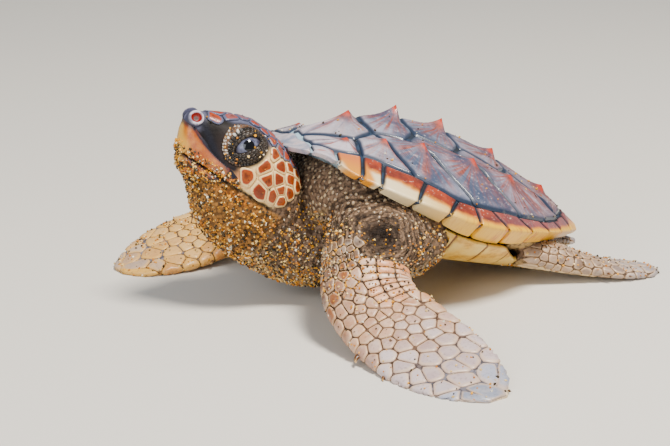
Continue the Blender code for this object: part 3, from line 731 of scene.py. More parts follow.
def face_up(points, faces, outward):
    """Turns face lists so that the first face of each looks along the outward vector of its first
    corner."""
    turned = []
    for group in faces:
        a, b, c = (points[group[:, k]] for k in range(3))
        side = (np.cross(b - a, c - a) * outward[group[:, 0]]).sum(1)
        turned.append(np.where((side < 0)[:, None], group[:, ::-1], group))
    return turned


plates = []
for i in range(5):
    tip = (KEEL_SPINES[i][0], 0.0)
    plates.append(shell_plate(keel_plate(i), tip, 112, 28, seed=i))
    for side in (-1, 1):
        corners = [(s, side * t) for s, t in side_plate(i)][::-side]
        plates.append(shell_plate(corners, (SIDE_SPINES[i][0], side * SIDE_KEEL), seed=5 + i * side))
for index, (p, f, k) in enumerate(plates):
    plates[index] = (p, f, np.concatenate([k, np.full((len(k), 1), (index * 0.618) % 1)], 1))
points, faces, facts = join(plates)
outward = points - tip_shell(np.array([[0.0, 0.0, -60.0]]))
scutes = make_mesh("carapace_scutes", points, face_up(points, faces, outward))
write_attribute(scutes, "growth", np.stack([facts[:, 0], np.clip(facts[:, 3] / 5, 0, 1), facts[:, 4]], 1))
write_attribute(scutes, "ray", facts[:, 1:4] * [1, 1, 0] + facts[:, 4:5] * [0, 0, 10]
                + facts[:, 0:1] * [0, 0, 0.5], "FLOAT_VECTOR")
print("keel and side plates:", len(plates), "with", sum(len(f) for f in faces), "faces")

# %% Rim plates, which fold round the shell's edge
def under_seam(s):
    """How far in and how far down from the rim the plates end underneath, widest along the bridge."""
    knots = [0, 0.15, 0.35, 0.55, 0.75, 0.95, 1.0]
    return smooth(s, knots, [1.5, 3.0, 4.5, 4.8, 4.4, 2.4, 1.2]), smooth(s, knots,
            [1.0, 1.3, 3.0, 4.4, 3.2, 1.6, 0.9])


LAST_RIM = 11  # the last pair of rim plates meets over the tail


def rim_profile(s, across, side, close=0.0):
    """A line from the side plates out over the top (0 to 1), round the edge, and in below (1 to 2); where
    close is 1 it lies along the middle of the shell."""
    over = np.clip(across, 0, 1)
    t = (rim_inner_edge(s) + (1 - rim_inner_edge(s)) * over) * (1 - close)
    wide = half_width(s)
    inward, down = under_seam(s)
    below = np.clip(across - 1, 0, 1)
    z = dome(s, t, False) - down * below
    return np.stack([shell_x(s, t), side * np.maximum(t * wide - inward * below * (1 - close), 0.18), z], -1)


def rim_plate(k, side, rows=26, cols=44):
    """Between two seams, a grid across the fold; the corner at the edge is rounded by averaging
    along the profile, and the plate turns down into the seam on its four sides."""
    across = np.concatenate([np.linspace(0, 1, cols // 2, endpoint=False),
                             np.linspace(1, 2, cols - cols // 2)])[None, :]
    u = np.linspace(0, 1, rows)[:, None]
    reach = np.clip(across, 0, 1)
    first = RIM_INNER[k] + (RIM_OUTER[k] - RIM_INNER[k]) * reach
    last = RIM_INNER[k + 1] + (RIM_OUTER[k + 1] - RIM_INNER[k + 1]) * reach
    gap = 0.22 / LENGTH
    s = first + gap + (last - first - 2 * gap) * u
    body = rim_profile(s, across, side, ease(u, 0.7, 1.0) if k == LAST_RIM else 0.0)
    for _ in range(5):
        body[:, 1:-1] = (body[:, :-2] + 2 * body[:, 1:-1] + body[:, 2:]) / 4
    along, over = np.gradient(body, axis=0), np.gradient(body, axis=1)
    normal = np.cross(along, over) * side
    normal = unit(normal, 1e-9)
    lengths = (last - first) * LENGTH
    ends = np.minimum(u, 1 - u) * lengths if k < LAST_RIM else np.minimum(u * lengths, np.abs(body[..., 1]))
    inner = np.concatenate([[0], np.cumsum(np.linalg.norm(np.diff(body[rows // 2], axis=0),
            axis=1))])[None, :]
    edge = np.minimum(np.minimum(ends, inner), inner[:, -1:] - inner + 0.2)
    down = (0.75 + 0.25 * ease(across, 0.5, 0.9)) * (1 - np.clip(edge / 0.7, 0, 1)) ** 2.2
    crown = 0.12 * np.sin(math.pi * u) * np.ones_like(across)
    points = tip_shell(body + normal * (0.10 + crown - down)[..., None])
    facts = np.stack([u + 0 * across, across / 2 + 0 * u, 0 * u + 0 * across + (0.37 * k + 0.2 * side) % 1,
                      s, edge], -1)
    return points.reshape(-1, 3), [sheet_faces(rows, cols)], facts.reshape(-1, 5)


def nape_plate(rows=24, cols=90):
    """The broad plate over the nape. Its rear edge lies along the first keel and side plates, its front
    edge is the shell's own outline from (0.033, -1) round to (0.033, 1), and it folds 1.2 mm in and 1
    mm down."""
    across = np.linspace(-1, 1, cols)[None, :]
    v = np.linspace(0, 2, rows)[:, None]
    out, below = np.clip(v, 0, 1), np.clip(v - 1, 0, 1)
    rear_s, rear_t = 0.058 - 0.010 * ease(np.abs(across), 0.10, 0.40), 0.61 * across
    front_s, front_t = 0.033 * ease(np.abs(across), 0.80, 1.0), np.clip(across / 0.85, -1, 1)
    s, t = rear_s + (front_s - rear_s) * out, rear_t + (front_t - rear_t) * out
    inside = np.array([(0.10 - 0.5) * LENGTH, 0.0])
    plane = np.stack([shell_x(s, t), t * half_width(s)], -1)
    inward = inside - plane
    inward = unit(inward)
    plane = plane + inward * 1.2 * below[..., None]
    body = np.concatenate([plane, (dome(s, t, False) - 1.0 * below)[..., None]], -1)
    for _ in range(2):
        body[1:-1] = (body[:-2] + 2 * body[1:-1] + body[2:]) / 4
    fold = np.linspace(0, 1, rows)[:, None, None]
    lift = np.concatenate([-inward * ease(fold, 0.42, 0.58),
                           1 - 2 * ease(fold, 0.55, 0.9) + 0 * inward[..., :1]], -1)
    lift = unit(lift)
    side_gap = (1 - np.abs(across)) * 14 + 0 * v
    edge = np.minimum(np.minimum(side_gap, v * 5), (2.15 - v) * 5)
    down = 0.7 * (1 - np.clip(edge / 0.7, 0, 1)) ** 2.2
    points = tip_shell(body + lift * (0.12 - down)[..., None])
    facts = np.stack([0.5 + across / 2 + 0 * v, v / 2 + 0 * across, 0 * v + 0 * across + 0.4,
                      0.02 + 0 * s, edge], -1)
    return points.reshape(-1, 3), [sheet_faces(rows, cols)], facts.reshape(-1, 5)


rim = [rim_plate(k, side) for k in range(LAST_RIM + 1) for side in (-1, 1)] + [nape_plate()]
points, faces, facts = join(rim)
middle = tip_shell(np.stack([np.clip((facts[:, 3] - 0.5) * LENGTH, -38, 40), 0 * facts[:, 3],
                             0 * facts[:, 3] + 1], -1))
heading = points - middle
marginals = make_mesh("rim_plates", points, face_up(points, faces, heading))
write_attribute(marginals, "rim", facts[:, [1, 0, 2]])
write_attribute(marginals, "place", np.stack([facts[:, 3], np.clip(facts[:, 4] / 5, 0, 1), facts[:, 2]], 1))
print("rim plates:", len(rim))

# %% [markdown]
# Between the plates lie thin dark seams, with a painted highlight in pale light blue on them at the front.
# They are one surface that runs 0.42 mm below the dome that the plates follow, closed underneath, so no light
# comes through the shell.

# %% The bed that the plates lie on
s = np.linspace(0.0, 1.0, 150)[:, None]
t = np.linspace(-1, 1, 121)[None, :]
BED_DEPTH = 0.42
wide = half_width(s) - 0.80
x = shell_x(s, t) + np.where(s > 0.5, 1.3, 0.6) * (0.5 - s) * 2 * ease(np.abs(s - 0.5), 0.4, 0.5)
over = np.stack([x, t * wide, dome(s, t) - BED_DEPTH], -1)
inward, down = under_seam(s)
share_in = np.array([0.25, 0.5, 0.75, 1.0])[None, :]
rim_z = smooth(s, STATION, RIM_HEIGHT) * LENGTH - BED_DEPTH
end_y, end_z = half_width(s) - inward - 0.9, rim_z - down + 1.25
right = np.stack([x[:, -1:] + 0 * share_in, wide + (end_y - wide) * share_in,
                  rim_z + (end_z - rim_z) * share_in], -1)
floor_y = np.array([0.6, 0.3, 0.0])[None, :]
inner = np.stack([x[:, -1:] + 0 * floor_y, end_y * floor_y, end_z + 0 * floor_y], -1)
mirror = np.array([1, -1, 1])
ring = np.concatenate([over, right, inner, (inner * mirror)[:, -2::-1], (right * mirror)[:, ::-1]], axis=1)
points, faces = tube(tip_shell(ring))
bed = make_mesh("shell_bed", points, faces, closed=True)
print("shell bed:", ring.shape)

# %% [markdown]
# ## The shell's colours
# Wet horn shows what lies under it: red-brown flames that run out from each plate's
# growth centre, a red-orange spine tip, and darker, bluer edges where the newest horn is. Its ground is
# blue-grey, a painted sky reflection that turns partly to the horn's own mauve towards the rear, and its
# front is paled by a painted sheen. The rays come from the angle stored on each plate, so that they follow
# its growth.

# %% Horn of the keel and side plates
def horn_rays(tree, ray, fine, coarse):
    """Streaks that run out from a plate's centre: noise on (cos a, sin a) x frequency, stretched along
    the ray."""
    x, y, z = parts_of(tree, ray)

    def at(frequency):
        """Noise at this many waves for one unit of (cos a, sin a)."""
        mixed = node(tree, "ShaderNodeCombineXYZ", X=times(tree, x, frequency),
                     Y=times(tree, y, frequency), Z=z)
        return noise(tree, mixed.outputs[0], 1.0, 3.0, 0.6)
    return at(fine), at(coarse)


horn, tree, shader = finish("wet shell horn", roughness=0.36, coat=0.55, coat_roughness=0.16, specular=0.5)
share, inward, _ = stored(tree, "growth")
fine, coarse = horn_rays(tree, attribute(tree, "ray", "Vector"), 7.0, 2.2)
spot = object_point(tree)
cloud = noise(tree, spot, 90.0, 4.0, 0.6)
grain = noise(tree, spot, 900.0, 3.0, 0.6)
x, y, z = parts_of(tree, spot)
# Painted sky reflection: the blue-grey ground stands in for wet horn mirroring the sky; towards the rear it
# is mixed with the horn's own mauve.
blue = blend(tree, ramp(tree, cloud, 0.35, 0.7), srgb(66, 78, 102), srgb(166, 168, 184))
mauve = blend(tree, ramp(tree, cloud, 0.3, 0.65), srgb(88, 60, 66), srgb(164, 130, 136))
blue = blend(tree, times(tree, ramp(tree, x, -0.035, 0.010), 0.62), blue, mauve)
blue = blend(tree, times(tree, ramp(tree, grain, 0.55, 0.75), 0.8), blue, srgb(196, 190, 200))
flame = blend(tree, ramp(tree, grain, 0.3, 0.7), srgb(98, 42, 34), srgb(160, 82, 62))
where = times(tree, ramp(tree, fine, 0.38, 0.60), ramp(tree, coarse, 0.32, 0.54))
where = times(tree, where, ramp(tree, share, 1.10, 0.60))
where = maths(tree, "MAXIMUM", where, times(tree, ramp(tree, share, 0.42, 0.12),
                                            ramp(tree, cloud, 0.3, 0.55)))
where = times(tree, where, ramp(tree, cloud, 0.25, 0.50))
colour = blend(tree, times(tree, where, 0.95), blue, flame)
colour = blend(tree, ramp(tree, share, 0.15, 0.05), colour, srgb(186, 74, 48))
# Painted sheen: the front of the shell is paled towards a whitish pink-grey.
front = times(tree, ramp(tree, x, -0.044, -0.062), 0.80)
colour = blend(tree, times(tree, front, times(tree, ramp(tree, share, 0.14, 0.34),
                                              ramp(tree, coarse, 0.66, 0.50))), colour, srgb(218, 208, 214))
colour = blend(tree, ramp(tree, inward, 0.26, 0.05), colour, srgb(30, 44, 66))
paint(tree, shader, colour)
rings_seen = maths(tree, "SINE", times(tree, inward, 62.0))
relief = maths(tree, "ADD", times(tree, fine, 0.7), times(tree, grain, 0.5))
relief = maths(tree, "MULTIPLY_ADD", rings_seen, 0.18, relief)
bump(tree, shader, relief, 0.55, 0.00022)
tree.links.new(ramp(tree, cloud, -0.5, 1.4), shader.inputs["Roughness"])
scutes.data.materials.append(horn)

# %% Horn of the rim plates
edge_horn, tree, shader = finish("rim plate horn", roughness=0.4, coat=0.35, coat_roughness=0.2)
fold, along, chance = stored(tree, "rim")
station, inward, _ = stored(tree, "place")
spot = object_point(tree)
cloud = noise(tree, spot, 160.0, 4.0, 0.6)
grain = noise(tree, spot, 1100.0, 3.0, 0.6)
streaks = noise(tree, node(tree, "ShaderNodeCombineXYZ", X=times(tree, along, 14.0),
                           Y=times(tree, fold, 2.0), Z=times(tree, chance, 20.0)).outputs[0], 1.0, 3.0)
rust = blend(tree, ramp(tree, cloud, 0.35, 0.65), srgb(92, 36, 26), srgb(164, 74, 48))
rust = blend(tree, times(tree, ramp(tree, station, 0.42, 0.70), 0.6), rust, srgb(150, 100, 104))
rust = blend(tree, ramp(tree, grain, 0.6, 0.72), rust, srgb(226, 190, 176))
cream = blend(tree, ramp(tree, station, 0.20, 0.48), srgb(255, 236, 198), srgb(240, 190, 34))
cream = blend(tree, times(tree, ramp(tree, streaks, 0.5, 0.7), ramp(tree, station, 0.3, 0.6)), cream,
              srgb(206, 132, 44))
orange_front = times(tree, ramp(tree, station, 0.175, 0.160), ramp(tree, station, 0.085, 0.110))
dark_share = maths(tree, "MULTIPLY_ADD", ramp(tree, station, 0.24, 0.42), 0.08, 0.285)
edge_at = maths(tree, "MULTIPLY_ADD", maths(tree, "SUBTRACT", cloud, 0.5), 0.20, fold)
top = maths(tree, "SUBTRACT", dark_share, edge_at)
colour = blend(tree, ramp(tree, top, -0.07, 0.02), cream, srgb(216, 142, 82))
colour = blend(tree, ramp(tree, top, -0.01, 0.08), colour, rust)
colour = blend(tree, orange_front, colour, blend(tree, ramp(tree, fold, 0.05, 0.45), srgb(214, 130, 88),
                                                 srgb(228, 158, 84)))
# Nape and first rim plates: blue-grey paled to whitish by cloud noise, a painted sky reflection and sheen,
# with the horn's own red-brown blotches.
nape = blend(tree, ramp(tree, cloud, 0.35, 0.60), srgb(150, 156, 176), srgb(222, 210, 214))
nape = blend(tree, times(tree, ramp(tree, cloud, 0.56, 0.68), 0.7), nape, srgb(186, 96, 84))
colour = blend(tree, ramp(tree, station, 0.095, 0.075), colour, nape)
tip_here = times(tree, ramp(tree, along, 0.80, 0.97),
                 ramp(tree, maths(tree, "ABSOLUTE", maths(tree, "SUBTRACT", fold, 0.5)), 0.10, 0.03))
colour = blend(tree, times(tree, tip_here, ramp(tree, station, 0.3, 0.5)), colour, srgb(206, 120, 44))
seam_dark = times(tree, ramp(tree, inward, 0.14, 0.02), ramp(tree, fold, 0.5, 0.36))
colour = blend(tree, seam_dark, colour, srgb(24, 30, 42))
paint(tree, shader, colour)
tree.links.new(times(tree, ramp(tree, inward, 0.02, 0.16), 0.35), shader.inputs["Coat Weight"])
tree.links.new(maths(tree, "MULTIPLY_ADD", ramp(tree, inward, 0.16, 0.02), 0.45, 0.4),
               shader.inputs["Roughness"])
bump(tree, shader, maths(tree, "MULTIPLY_ADD", grain, 0.5, streaks), 0.45, 0.0002)
marginals.data.materials.append(edge_horn)

# %% The seams between plates
seam_skin, tree, shader = finish("seam between plates", roughness=0.45, coat=0.3, coat_roughness=0.2)
spot = object_point(tree)
x, y, z = parts_of(tree, spot)
dark = blend(tree, ramp(tree, noise(tree, spot, 300.0, 3.0), 0.4, 0.65), srgb(10, 16, 26), srgb(36, 54, 76))
# Painted highlight: towards the front the seams turn pale light blue, as wet seams catching the light.
pale = times(tree, ramp(tree, x, -0.058, -0.066), ramp(tree, noise(tree, spot, 200.0), 0.3, 0.5))
colour = blend(tree, pale, dark, srgb(190, 214, 228))
paint(tree, shader, colour)
bump(tree, shader, noise(tree, spot, 1500.0, 3.0), 0.4, 0.0001)
bed.data.materials.append(seam_skin)
for piece in (scutes, marginals, bed):
    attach(piece, "root")
    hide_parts("carapace")

# %% [markdown]
# ## Plastron
# The under side is a flat shell of cream horn, joined to the carapace by a bridge on each side. It
# is one hull with grooves pressed in where its six pairs of plates and the bridge plates meet.

# %% The hull and its seams
ACROSS_SEAMS = [0.205, 0.33, 0.47, 0.62, 0.765]
BRIDGE_SEAMS = [0.34, 0.442, 0.545, 0.645]
BELLY = -11.0


def hull_point(s, t, depth=0.0):
    """A flat belly that curves up to 0.8 mm under the rim's under seam along the bridge:
    z = belly + (top - 0.5 - belly) r^1.8, with r going from 0 at |t| = 0.55 to 1 at the edge.
    Nothing goes below the floor."""
    wide = smooth(s, [0.13, 0.17, 0.24, 0.30, 0.36, 0.48, 0.60, 0.67, 0.74, 0.82, 0.88, 0.90],
                  [4, 10, 17, 21.5, 30.5, 31.2, 28.4, 22, 16, 10.5, 5.5, 3.0]) - 0.1
    bridge = np.clip((wide - 20) / 9, 0, 1)
    seam = smooth(s, STATION, RIM_HEIGHT) * LENGTH - under_seam(s)[1] - 0.3
    top = bridge * seam + (1 - bridge) * (BELLY + 2.7)
    belly = BELLY + 1.4 * np.clip((0.3 - s) / 0.17, 0, 1) ** 2 - np.clip((s - 0.6) / 0.2, 0, 1)
    rise = np.clip((np.abs(t) - 0.55) / 0.45, 0, 1) ** 1.8
    z = belly + (top - 0.5 - belly) * rise + depth
    points = tip_shell(np.stack([(s - 0.5) * LENGTH, t * (wide - 0.4 * depth), z], -1))
    points[..., 2] = np.maximum(points[..., 2], 0.0)
    return points, wide


s = np.linspace(0.132, 0.898, 220)[:, None]
t = np.linspace(-1, 1, 151)[None, :]
body, wide = hull_point(s + 0 * t, t + 0 * s)
side_t = np.abs(t)
limit = 0.60 + 0.02 * np.sin(s * 60)
bent = s + 0.012 * np.sin(side_t * 5) - 0.02 * side_t
gaps = [np.abs(bent - x) * LENGTH + 20 * ((side_t > limit) & (s > 0.33) & (s < 0.65)) for x in ACROSS_SEAMS]
gaps.append(np.abs(t - 0.01 * np.sin(s * 70)) * wide)
gaps.append(np.abs(side_t - limit) * wide + 30 * ((s < 0.335) | (s > 0.65)))
gaps += [np.abs(s + 0.02 * (side_t - 0.6) - x) * LENGTH + 30 * (side_t < limit) for x in BRIDGE_SEAMS]
seam_far = np.min([g + 0 * body[..., 0] for g in gaps], axis=0)
ripple = np.sin(np.clip(seam_far, 0, 6) * 5.0) * 0.03 * ease(seam_far, 0.6, 1.6)
groove = 0.42 * np.exp(-((seam_far / 0.30) ** 2)) + ripple + 0.03
normal = np.cross(np.gradient(body, axis=0), np.gradient(body, axis=1))
normal = unit(normal, 1e-9)
normal *= -np.sign(normal[..., 2:])
outer = body - normal * groove[..., None]
outer[..., 2] = np.maximum(outer[..., 2], 0.0)
inner = hull_point(s + 0 * t, t * 0.985, 1.1)[0]
inner[..., 2] = np.maximum(inner[..., 2], 0.6)
points, faces = tube(np.concatenate([outer, inner[:, ::-1]], 1))
belly_shell = make_mesh("plastron_plates", points, faces, closed=True)
plate_number = np.floor((bent - 0.13) * 7) + 10 * np.sign(t) + 50 * (side_t > limit)
chance = np.mod(plate_number * 0.618, 1)
facts = np.stack([np.clip(seam_far / 6, 0, 1), chance, side_t + 0 * s], -1)
facts = np.concatenate([facts, facts[:, ::-1]], 1).reshape(-1, 3)
write_attribute(belly_shell, "plate", np.concatenate([facts, [[0, 0, 0], [0, 0, 0]]]))
print("plastron:", len(points), "points")

cream_horn, tree, shader = finish("cream belly horn", roughness=0.42, coat=0.25, coat_roughness=0.25)
far, _, side_share = stored(tree, "plate")
spot = object_point(tree)
colour, cloud, grain, height = mottled(tree, spot, srgb(248, 218, 146), srgb(238, 190, 100), 1.0,
                                       srgb(224, 180, 104), 0.2, 130.0, 900.0)
stain = times(tree, ramp(tree, cloud, 0.50, 0.66), ramp(tree, grain, 0.35, 0.60))
colour = blend(tree, times(tree, stain, 0.55), colour, srgb(178, 122, 58))
colour = blend(tree, ramp(tree, maths(tree, "MULTIPLY_ADD", grain, 0.06, far), 0.11, 0.05), colour,
               srgb(112, 66, 40))
colour = blend(tree, times(tree, ramp(tree, side_share, 0.45, 0.2), 0.45), colour, srgb(214, 176, 120))
paint(tree, shader, colour)
bump(tree, shader, height, 0.4, 0.0002)
belly_shell.data.materials.append(cream_horn)
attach(belly_shell, "root")
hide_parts("plastron")

# %% [markdown]
# ## A map of each limb for its scales
# Scales are laid out on a map of the surface: s runs down the limb, and q runs round it, 0 at the
# leading edge (or the crown of the head) and +1 or -1 at the opposite edge, in even distances.
# One scale is then the ground nearer to its own middle than to any other, which is how
# real scales press against each other, and its edge is found by direction from that middle.

# %% The map
class Map:
    """An even grid on a body surface. sections(places, turns) gives the surface's rings."""

    def __init__(self, sections, rows=220, half=90):
        """Measures the rings and spaces their points evenly on each side of q = 0."""
        self.s, self.q = np.linspace(0, 1, rows), np.linspace(-1, 1, 2 * half + 1)
        rings = sections(self.s, np.linspace(-math.pi, math.pi, 2 * half + 1))
        step = np.linalg.norm(np.diff(rings, axis=1), axis=2)
        walk = np.concatenate([np.zeros((rows, 1)), np.cumsum(step, axis=1)], 1)
        walk -= walk[:, half : half + 1]
        self.girth = np.stack([-walk[:, 0], walk[:, -1]], 1).mean(1)
        share = np.where(walk < 0, walk / -walk[:, :1], walk / walk[:, -1:])
        self.grid = np.stack([[np.interp(self.q, share[i], rings[i, :, k]) for k in range(3)]
                              for i in range(rows)]).transpose(0, 2, 1)
        middle = self.grid.mean(1)
        self.length = float(np.linalg.norm(np.diff(middle, axis=0), axis=1).sum())
        normal = np.cross(np.gradient(self.grid, axis=0), np.gradient(self.grid, axis=1))
        normal = unit(normal, 1e-12)
        away = np.sign((normal * (self.grid - middle[:, None])).sum(-1).sum())
        self.normal = normal * away

    def at(self, s, q, field=None):
        """The surface's points (or normals) at (s, q), between grid points by their nearness."""
        field = self.grid if field is None else field
        i = np.clip(np.asarray(s) * (len(self.s) - 1), 0, len(self.s) - 1.001)
        j = (np.mod(np.asarray(q) + 1, 2)) * (len(self.q) - 1) / 2
        j = np.clip(j, 0, len(self.q) - 1.001)
        a, b = i.astype(int), j.astype(int)
        u, v = (i - a)[..., None], (j - b)[..., None]
        return ((1 - u) * (1 - v) * field[a, b] + u * (1 - v) * field[a + 1, b]
                + (1 - u) * v * field[a, b + 1] + u * v * field[a + 1, b + 1])

    def around(self, s):
        """Half the way round, in mm, at s."""
        return np.interp(s, self.s, self.girth)


# %% Scales from their middles
PROFILE = [(0.0, 1.0), (0.42, 0.97), (0.70, 0.80), (0.86, 0.52), (0.95, 0.20), (1.0, -0.25), (1.0, -1.2)]


def cell_reach(x, y, angle, power=12.0):
    """How far each scale reaches at each angle e: half way to every neighbour d away, |d|^2 / (2 d.e),
    the nearest counting most, by a soft minimum that rounds the corners."""
    near = x * x + y * y
    np.fill_diagonal(near, np.inf)
    pull = 2 * (x[:, :, None] * np.cos(angle) + y[:, :, None] * np.sin(angle)) / near[:, :, None]
    return (np.maximum(pull, 1e-6) ** power).sum(1) ** (-1 / power)


def scales(chart, s, q, gap=0.16, height=0.22, rays=16, most=5.0, keep=None, lean=0.0,
           chart_box=(0, 0, 1, 1), profile=PROFILE):
    """Closed cushion-shaped scales round the middles (s, q). Each is a set of rings at shares of the reach,
    lifted off the surface by the profile times the height; the lowest ring and its middle lie in the skin.
    With lean, the rear edge stands higher than the front. Gives points, faces and facts:
    share out from the middle, two chances, s, q and the bake patch."""
    s, q = np.asarray(s, float), np.asarray(q, float)
    angle = np.linspace(0, 2 * math.pi, rays, endpoint=False)
    along = s * chart.length
    x = along[None] - along[:, None]
    turn = np.mod(q[None] - q[:, None] + 1, 2) - 1
    y = turn * (chart.around(s)[None] + chart.around(s)[:, None]) / 2
    reach = np.minimum(cell_reach(x, y, angle), np.reshape(most, (-1, 1))) - gap
    reach = np.maximum(reach, 0.12)
    kept = np.arange(len(s)) if keep is None else np.flatnonzero(keep)
    s, q, reach, along = s[kept], q[kept], reach[kept], along[kept]
    share, rise = np.array(profile).T
    out = share[None, :, None] * reach[:, None, :]
    to_s = s[:, None, None] + out * np.cos(angle) / chart.length
    to_q = q[:, None, None] + out * np.sin(angle) / chart.around(np.clip(to_s, 0, 1))
    to_s = np.clip(to_s, 0.0, 1.0)
    size = np.minimum(height, 0.16 * reach.mean(1))[:, None, None]
    lift = size * rise[None, :, None] * (1 + lean * share[None, :, None] * np.cos(angle)
                                         * (rise > 0)[None, :, None])
    points = chart.at(to_s, to_q) + chart.at(to_s, to_q, chart.normal) * lift[..., None]
    floor = points[:, -1].mean(1, keepdims=True)
    points[:, 0] = points[:, 0].mean(1, keepdims=True)
    n, rings = len(s), len(share)
    body = np.concatenate([points[:, :1, 0], points[:, 1:].reshape(n, -1, 3), floor], 1)
    body[..., 2] = np.maximum(body[..., 2], 0.01)
    count = body.shape[1]
    j = np.arange(rays)
    k = (j + 1) % rays
    top = np.stack([np.zeros(rays, int), 1 + j, 1 + k], -1)
    side = sheet_faces(rings - 1, rays, wrap=True)[:, ::-1] + 1
    low = np.stack([np.full(rays, count - 1), count - 1 - rays + k, count - 1 - rays + j], -1)
    step = (np.arange(n) * count)[:, None, None]
    faces = [(f[None] + step).reshape(-1, f.shape[1]) for f in (top, side, low)]
    chance = rng.random((n, 2))
    ring_share = np.concatenate([[0], np.repeat(share[1:], rays), [1]])
    facts = np.concatenate([np.broadcast_to(ring_share[None, :, None], (n, count, 1)),
                            np.broadcast_to(chance[:, None], (n, count, 2)),
                            np.broadcast_to(np.stack([s, q], -1)[:, None], (n, count, 2))], -1)
    spread = np.stack([np.cos(angle), np.sin(angle)], -1)[None] * share[1:, None, None] * 0.0015
    spread = np.concatenate([[[0, 0]], spread.reshape(-1, 2), [[0, 0]]])
    x0, y0, x1, y1 = chart_box
    root = np.stack([x0 + s * (x1 - x0), y0 + (np.mod(q + 1, 2) / 2) * (y1 - y0)], -1)
    patch = root[:, None] + spread[None]
    facts = np.concatenate([facts, patch], -1)
    return body.reshape(-1, 3), faces, facts.reshape(-1, 7)


def scale_mesh(name, groups, tones):
    """One mesh from several groups of scales, with colours, facts and the bake map stored on it."""
    points, faces, facts = join(groups)
    obj = make_mesh(name, points, faces, closed=True)
    write_attribute(obj, "tone", tones(facts))
    write_attribute(obj, "scale", facts[:, :3])
    write_bake_map(obj, facts[:, 5:7])
    print(name, "has", sum(len(f) * (f.shape[1] - 2) for f in faces), "triangles,", len(points), "points")
    return obj


def lattice(x_from, x_to, q_low, q_high, spacing, chart, jitter=0.12):
    """Middles in staggered rows down the limb. spacing(x) is their distance at x mm down it."""
    rows, x = [], x_from
    while x < x_to:
        rows.append(x)
        x += spacing(x) * 0.88
    s_all, q_all = [], []
    for i, x in enumerate(rows):
        around = float(chart.around(x / chart.length))
        low, high = (q_low(x), q_high(x)) if callable(q_low) else (q_low, q_high)
        count = max(int(round((high - low) * around / spacing(x))), 1)
        q = low + (np.arange(count) + 0.5 + 0.25 * (-1) ** i) / count * (high - low)
        s_all.append(np.full(count, x / chart.length))
        q_all.append(q)
    s, q = np.concatenate(s_all), np.concatenate(q_all)
    size = np.array([spacing(v * chart.length) for v in s])
    s = s + rng.normal(0, jitter, len(s)) * size / chart.length
    q = q + rng.normal(0, jitter, len(q)) * size / chart.around(s)
    return np.clip(s, 0.001, 0.999), q


# %% [markdown]
# ## Scales of the front flippers
# On a flipper the scales are small and pebbly near the elbow, then become broad shields towards
# the tip, with a row of large ones along each edge. The same rows are laid on both flippers.

# %% Front flippers
def mix(low, high, share):
    """Between two colours by a share from 0 to 1."""
    share = np.clip(np.asarray(share, float), 0, 1)[..., None]
    return np.asarray(low)[None] * (1 - share) + np.asarray(high)[None] * share


def cover(colour, tone, mask):
    """The colour with a tone laid over it: colour (1 - mask) + tone mask."""
    return colour * (1 - mask) + tone * mask


def arm_layout(chart):
    """Middles (s, q) of a front flipper's scales, and which kind each is: 0 leading edge, 1 trailing
    edge, 2 upper side, 3 under side, 4 elbow pebbles, 5 middles that only bound the others."""
    total = chart.length
    grow = lambda x: float(np.interp(x, [30, 44, 56, 68, total], [2.1, 2.5, 3.6, 5.6, 6.4]))
    edge = lambda x: float(np.interp(x, [30, 44, 58, 70, total], [2.3, 3.0, 5.0, 6.4, 6.8]))
    back_edge = lambda x: float(np.interp(x, [46, 60, 70, total], [4.4, 5.6, 6.4, 6.8]))

    def row(start, step, q):
        """Middles from start to near the tip at one q, each a step from the last."""
        xs = [start]
        while xs[-1] + step(xs[-1]) < total - 1.5:
            xs.append(xs[-1] + step(xs[-1]))
        return np.array(xs) / total, np.full(len(xs), q)

    lead, second, trail = row(32.5, edge, 0.05), row(31.2, edge, 0.17), row(47.2, back_edge, 0.95)
    upper = lattice(31.5, total - 3.5, lambda x: 0.24,
            lambda x: float(np.interp(x, [30, 45.5, 47.5, 56, 70], [0.44, 0.46, 0.74, 0.82, 0.87])), grow,
            chart)
    # long narrow folds of horn across the limb, near the trailing edge below the elbow
    fold_x = np.array([33.0, 34.9, 36.9, 39.0, 41.2, 43.5, 45.6])
    folds = np.concatenate([fold_x, fold_x + 0.2, fold_x + 0.1]) / total, np.repeat([0.54, 0.71, 0.88], 7)
    under = lattice(35, total - 3, lambda x: -0.90, lambda x: -0.10, lambda x: grow(x) * 1.1, chart)
    elbow = lattice(28.5, 32.5, lambda x: -0.45, lambda x: 0.46, lambda x: 1.7, chart, 0.2)
    # middles above the first rows, which only bound them and are dropped
    bound_x = np.concatenate([[31.2, 31.4, 31.3, 45.2], np.full(11, 26.9), np.full(5, 32.6)])
    bound = bound_x / total, np.concatenate([[0.54, 0.71, 0.88, 0.99], np.linspace(-0.5, 0.5, 11),
                                             np.linspace(-0.92, -0.56, 5)])
    groups = [lead, second, trail, upper, folds, under, elbow, bound]
    kinds = np.concatenate([np.full(len(g[0]), k) for g, k in zip(groups, (0, 0, 1, 2, 2, 3, 4, 5))])
    return np.concatenate([g[0] for g in groups]), np.concatenate([g[1] for g in groups]), kinds


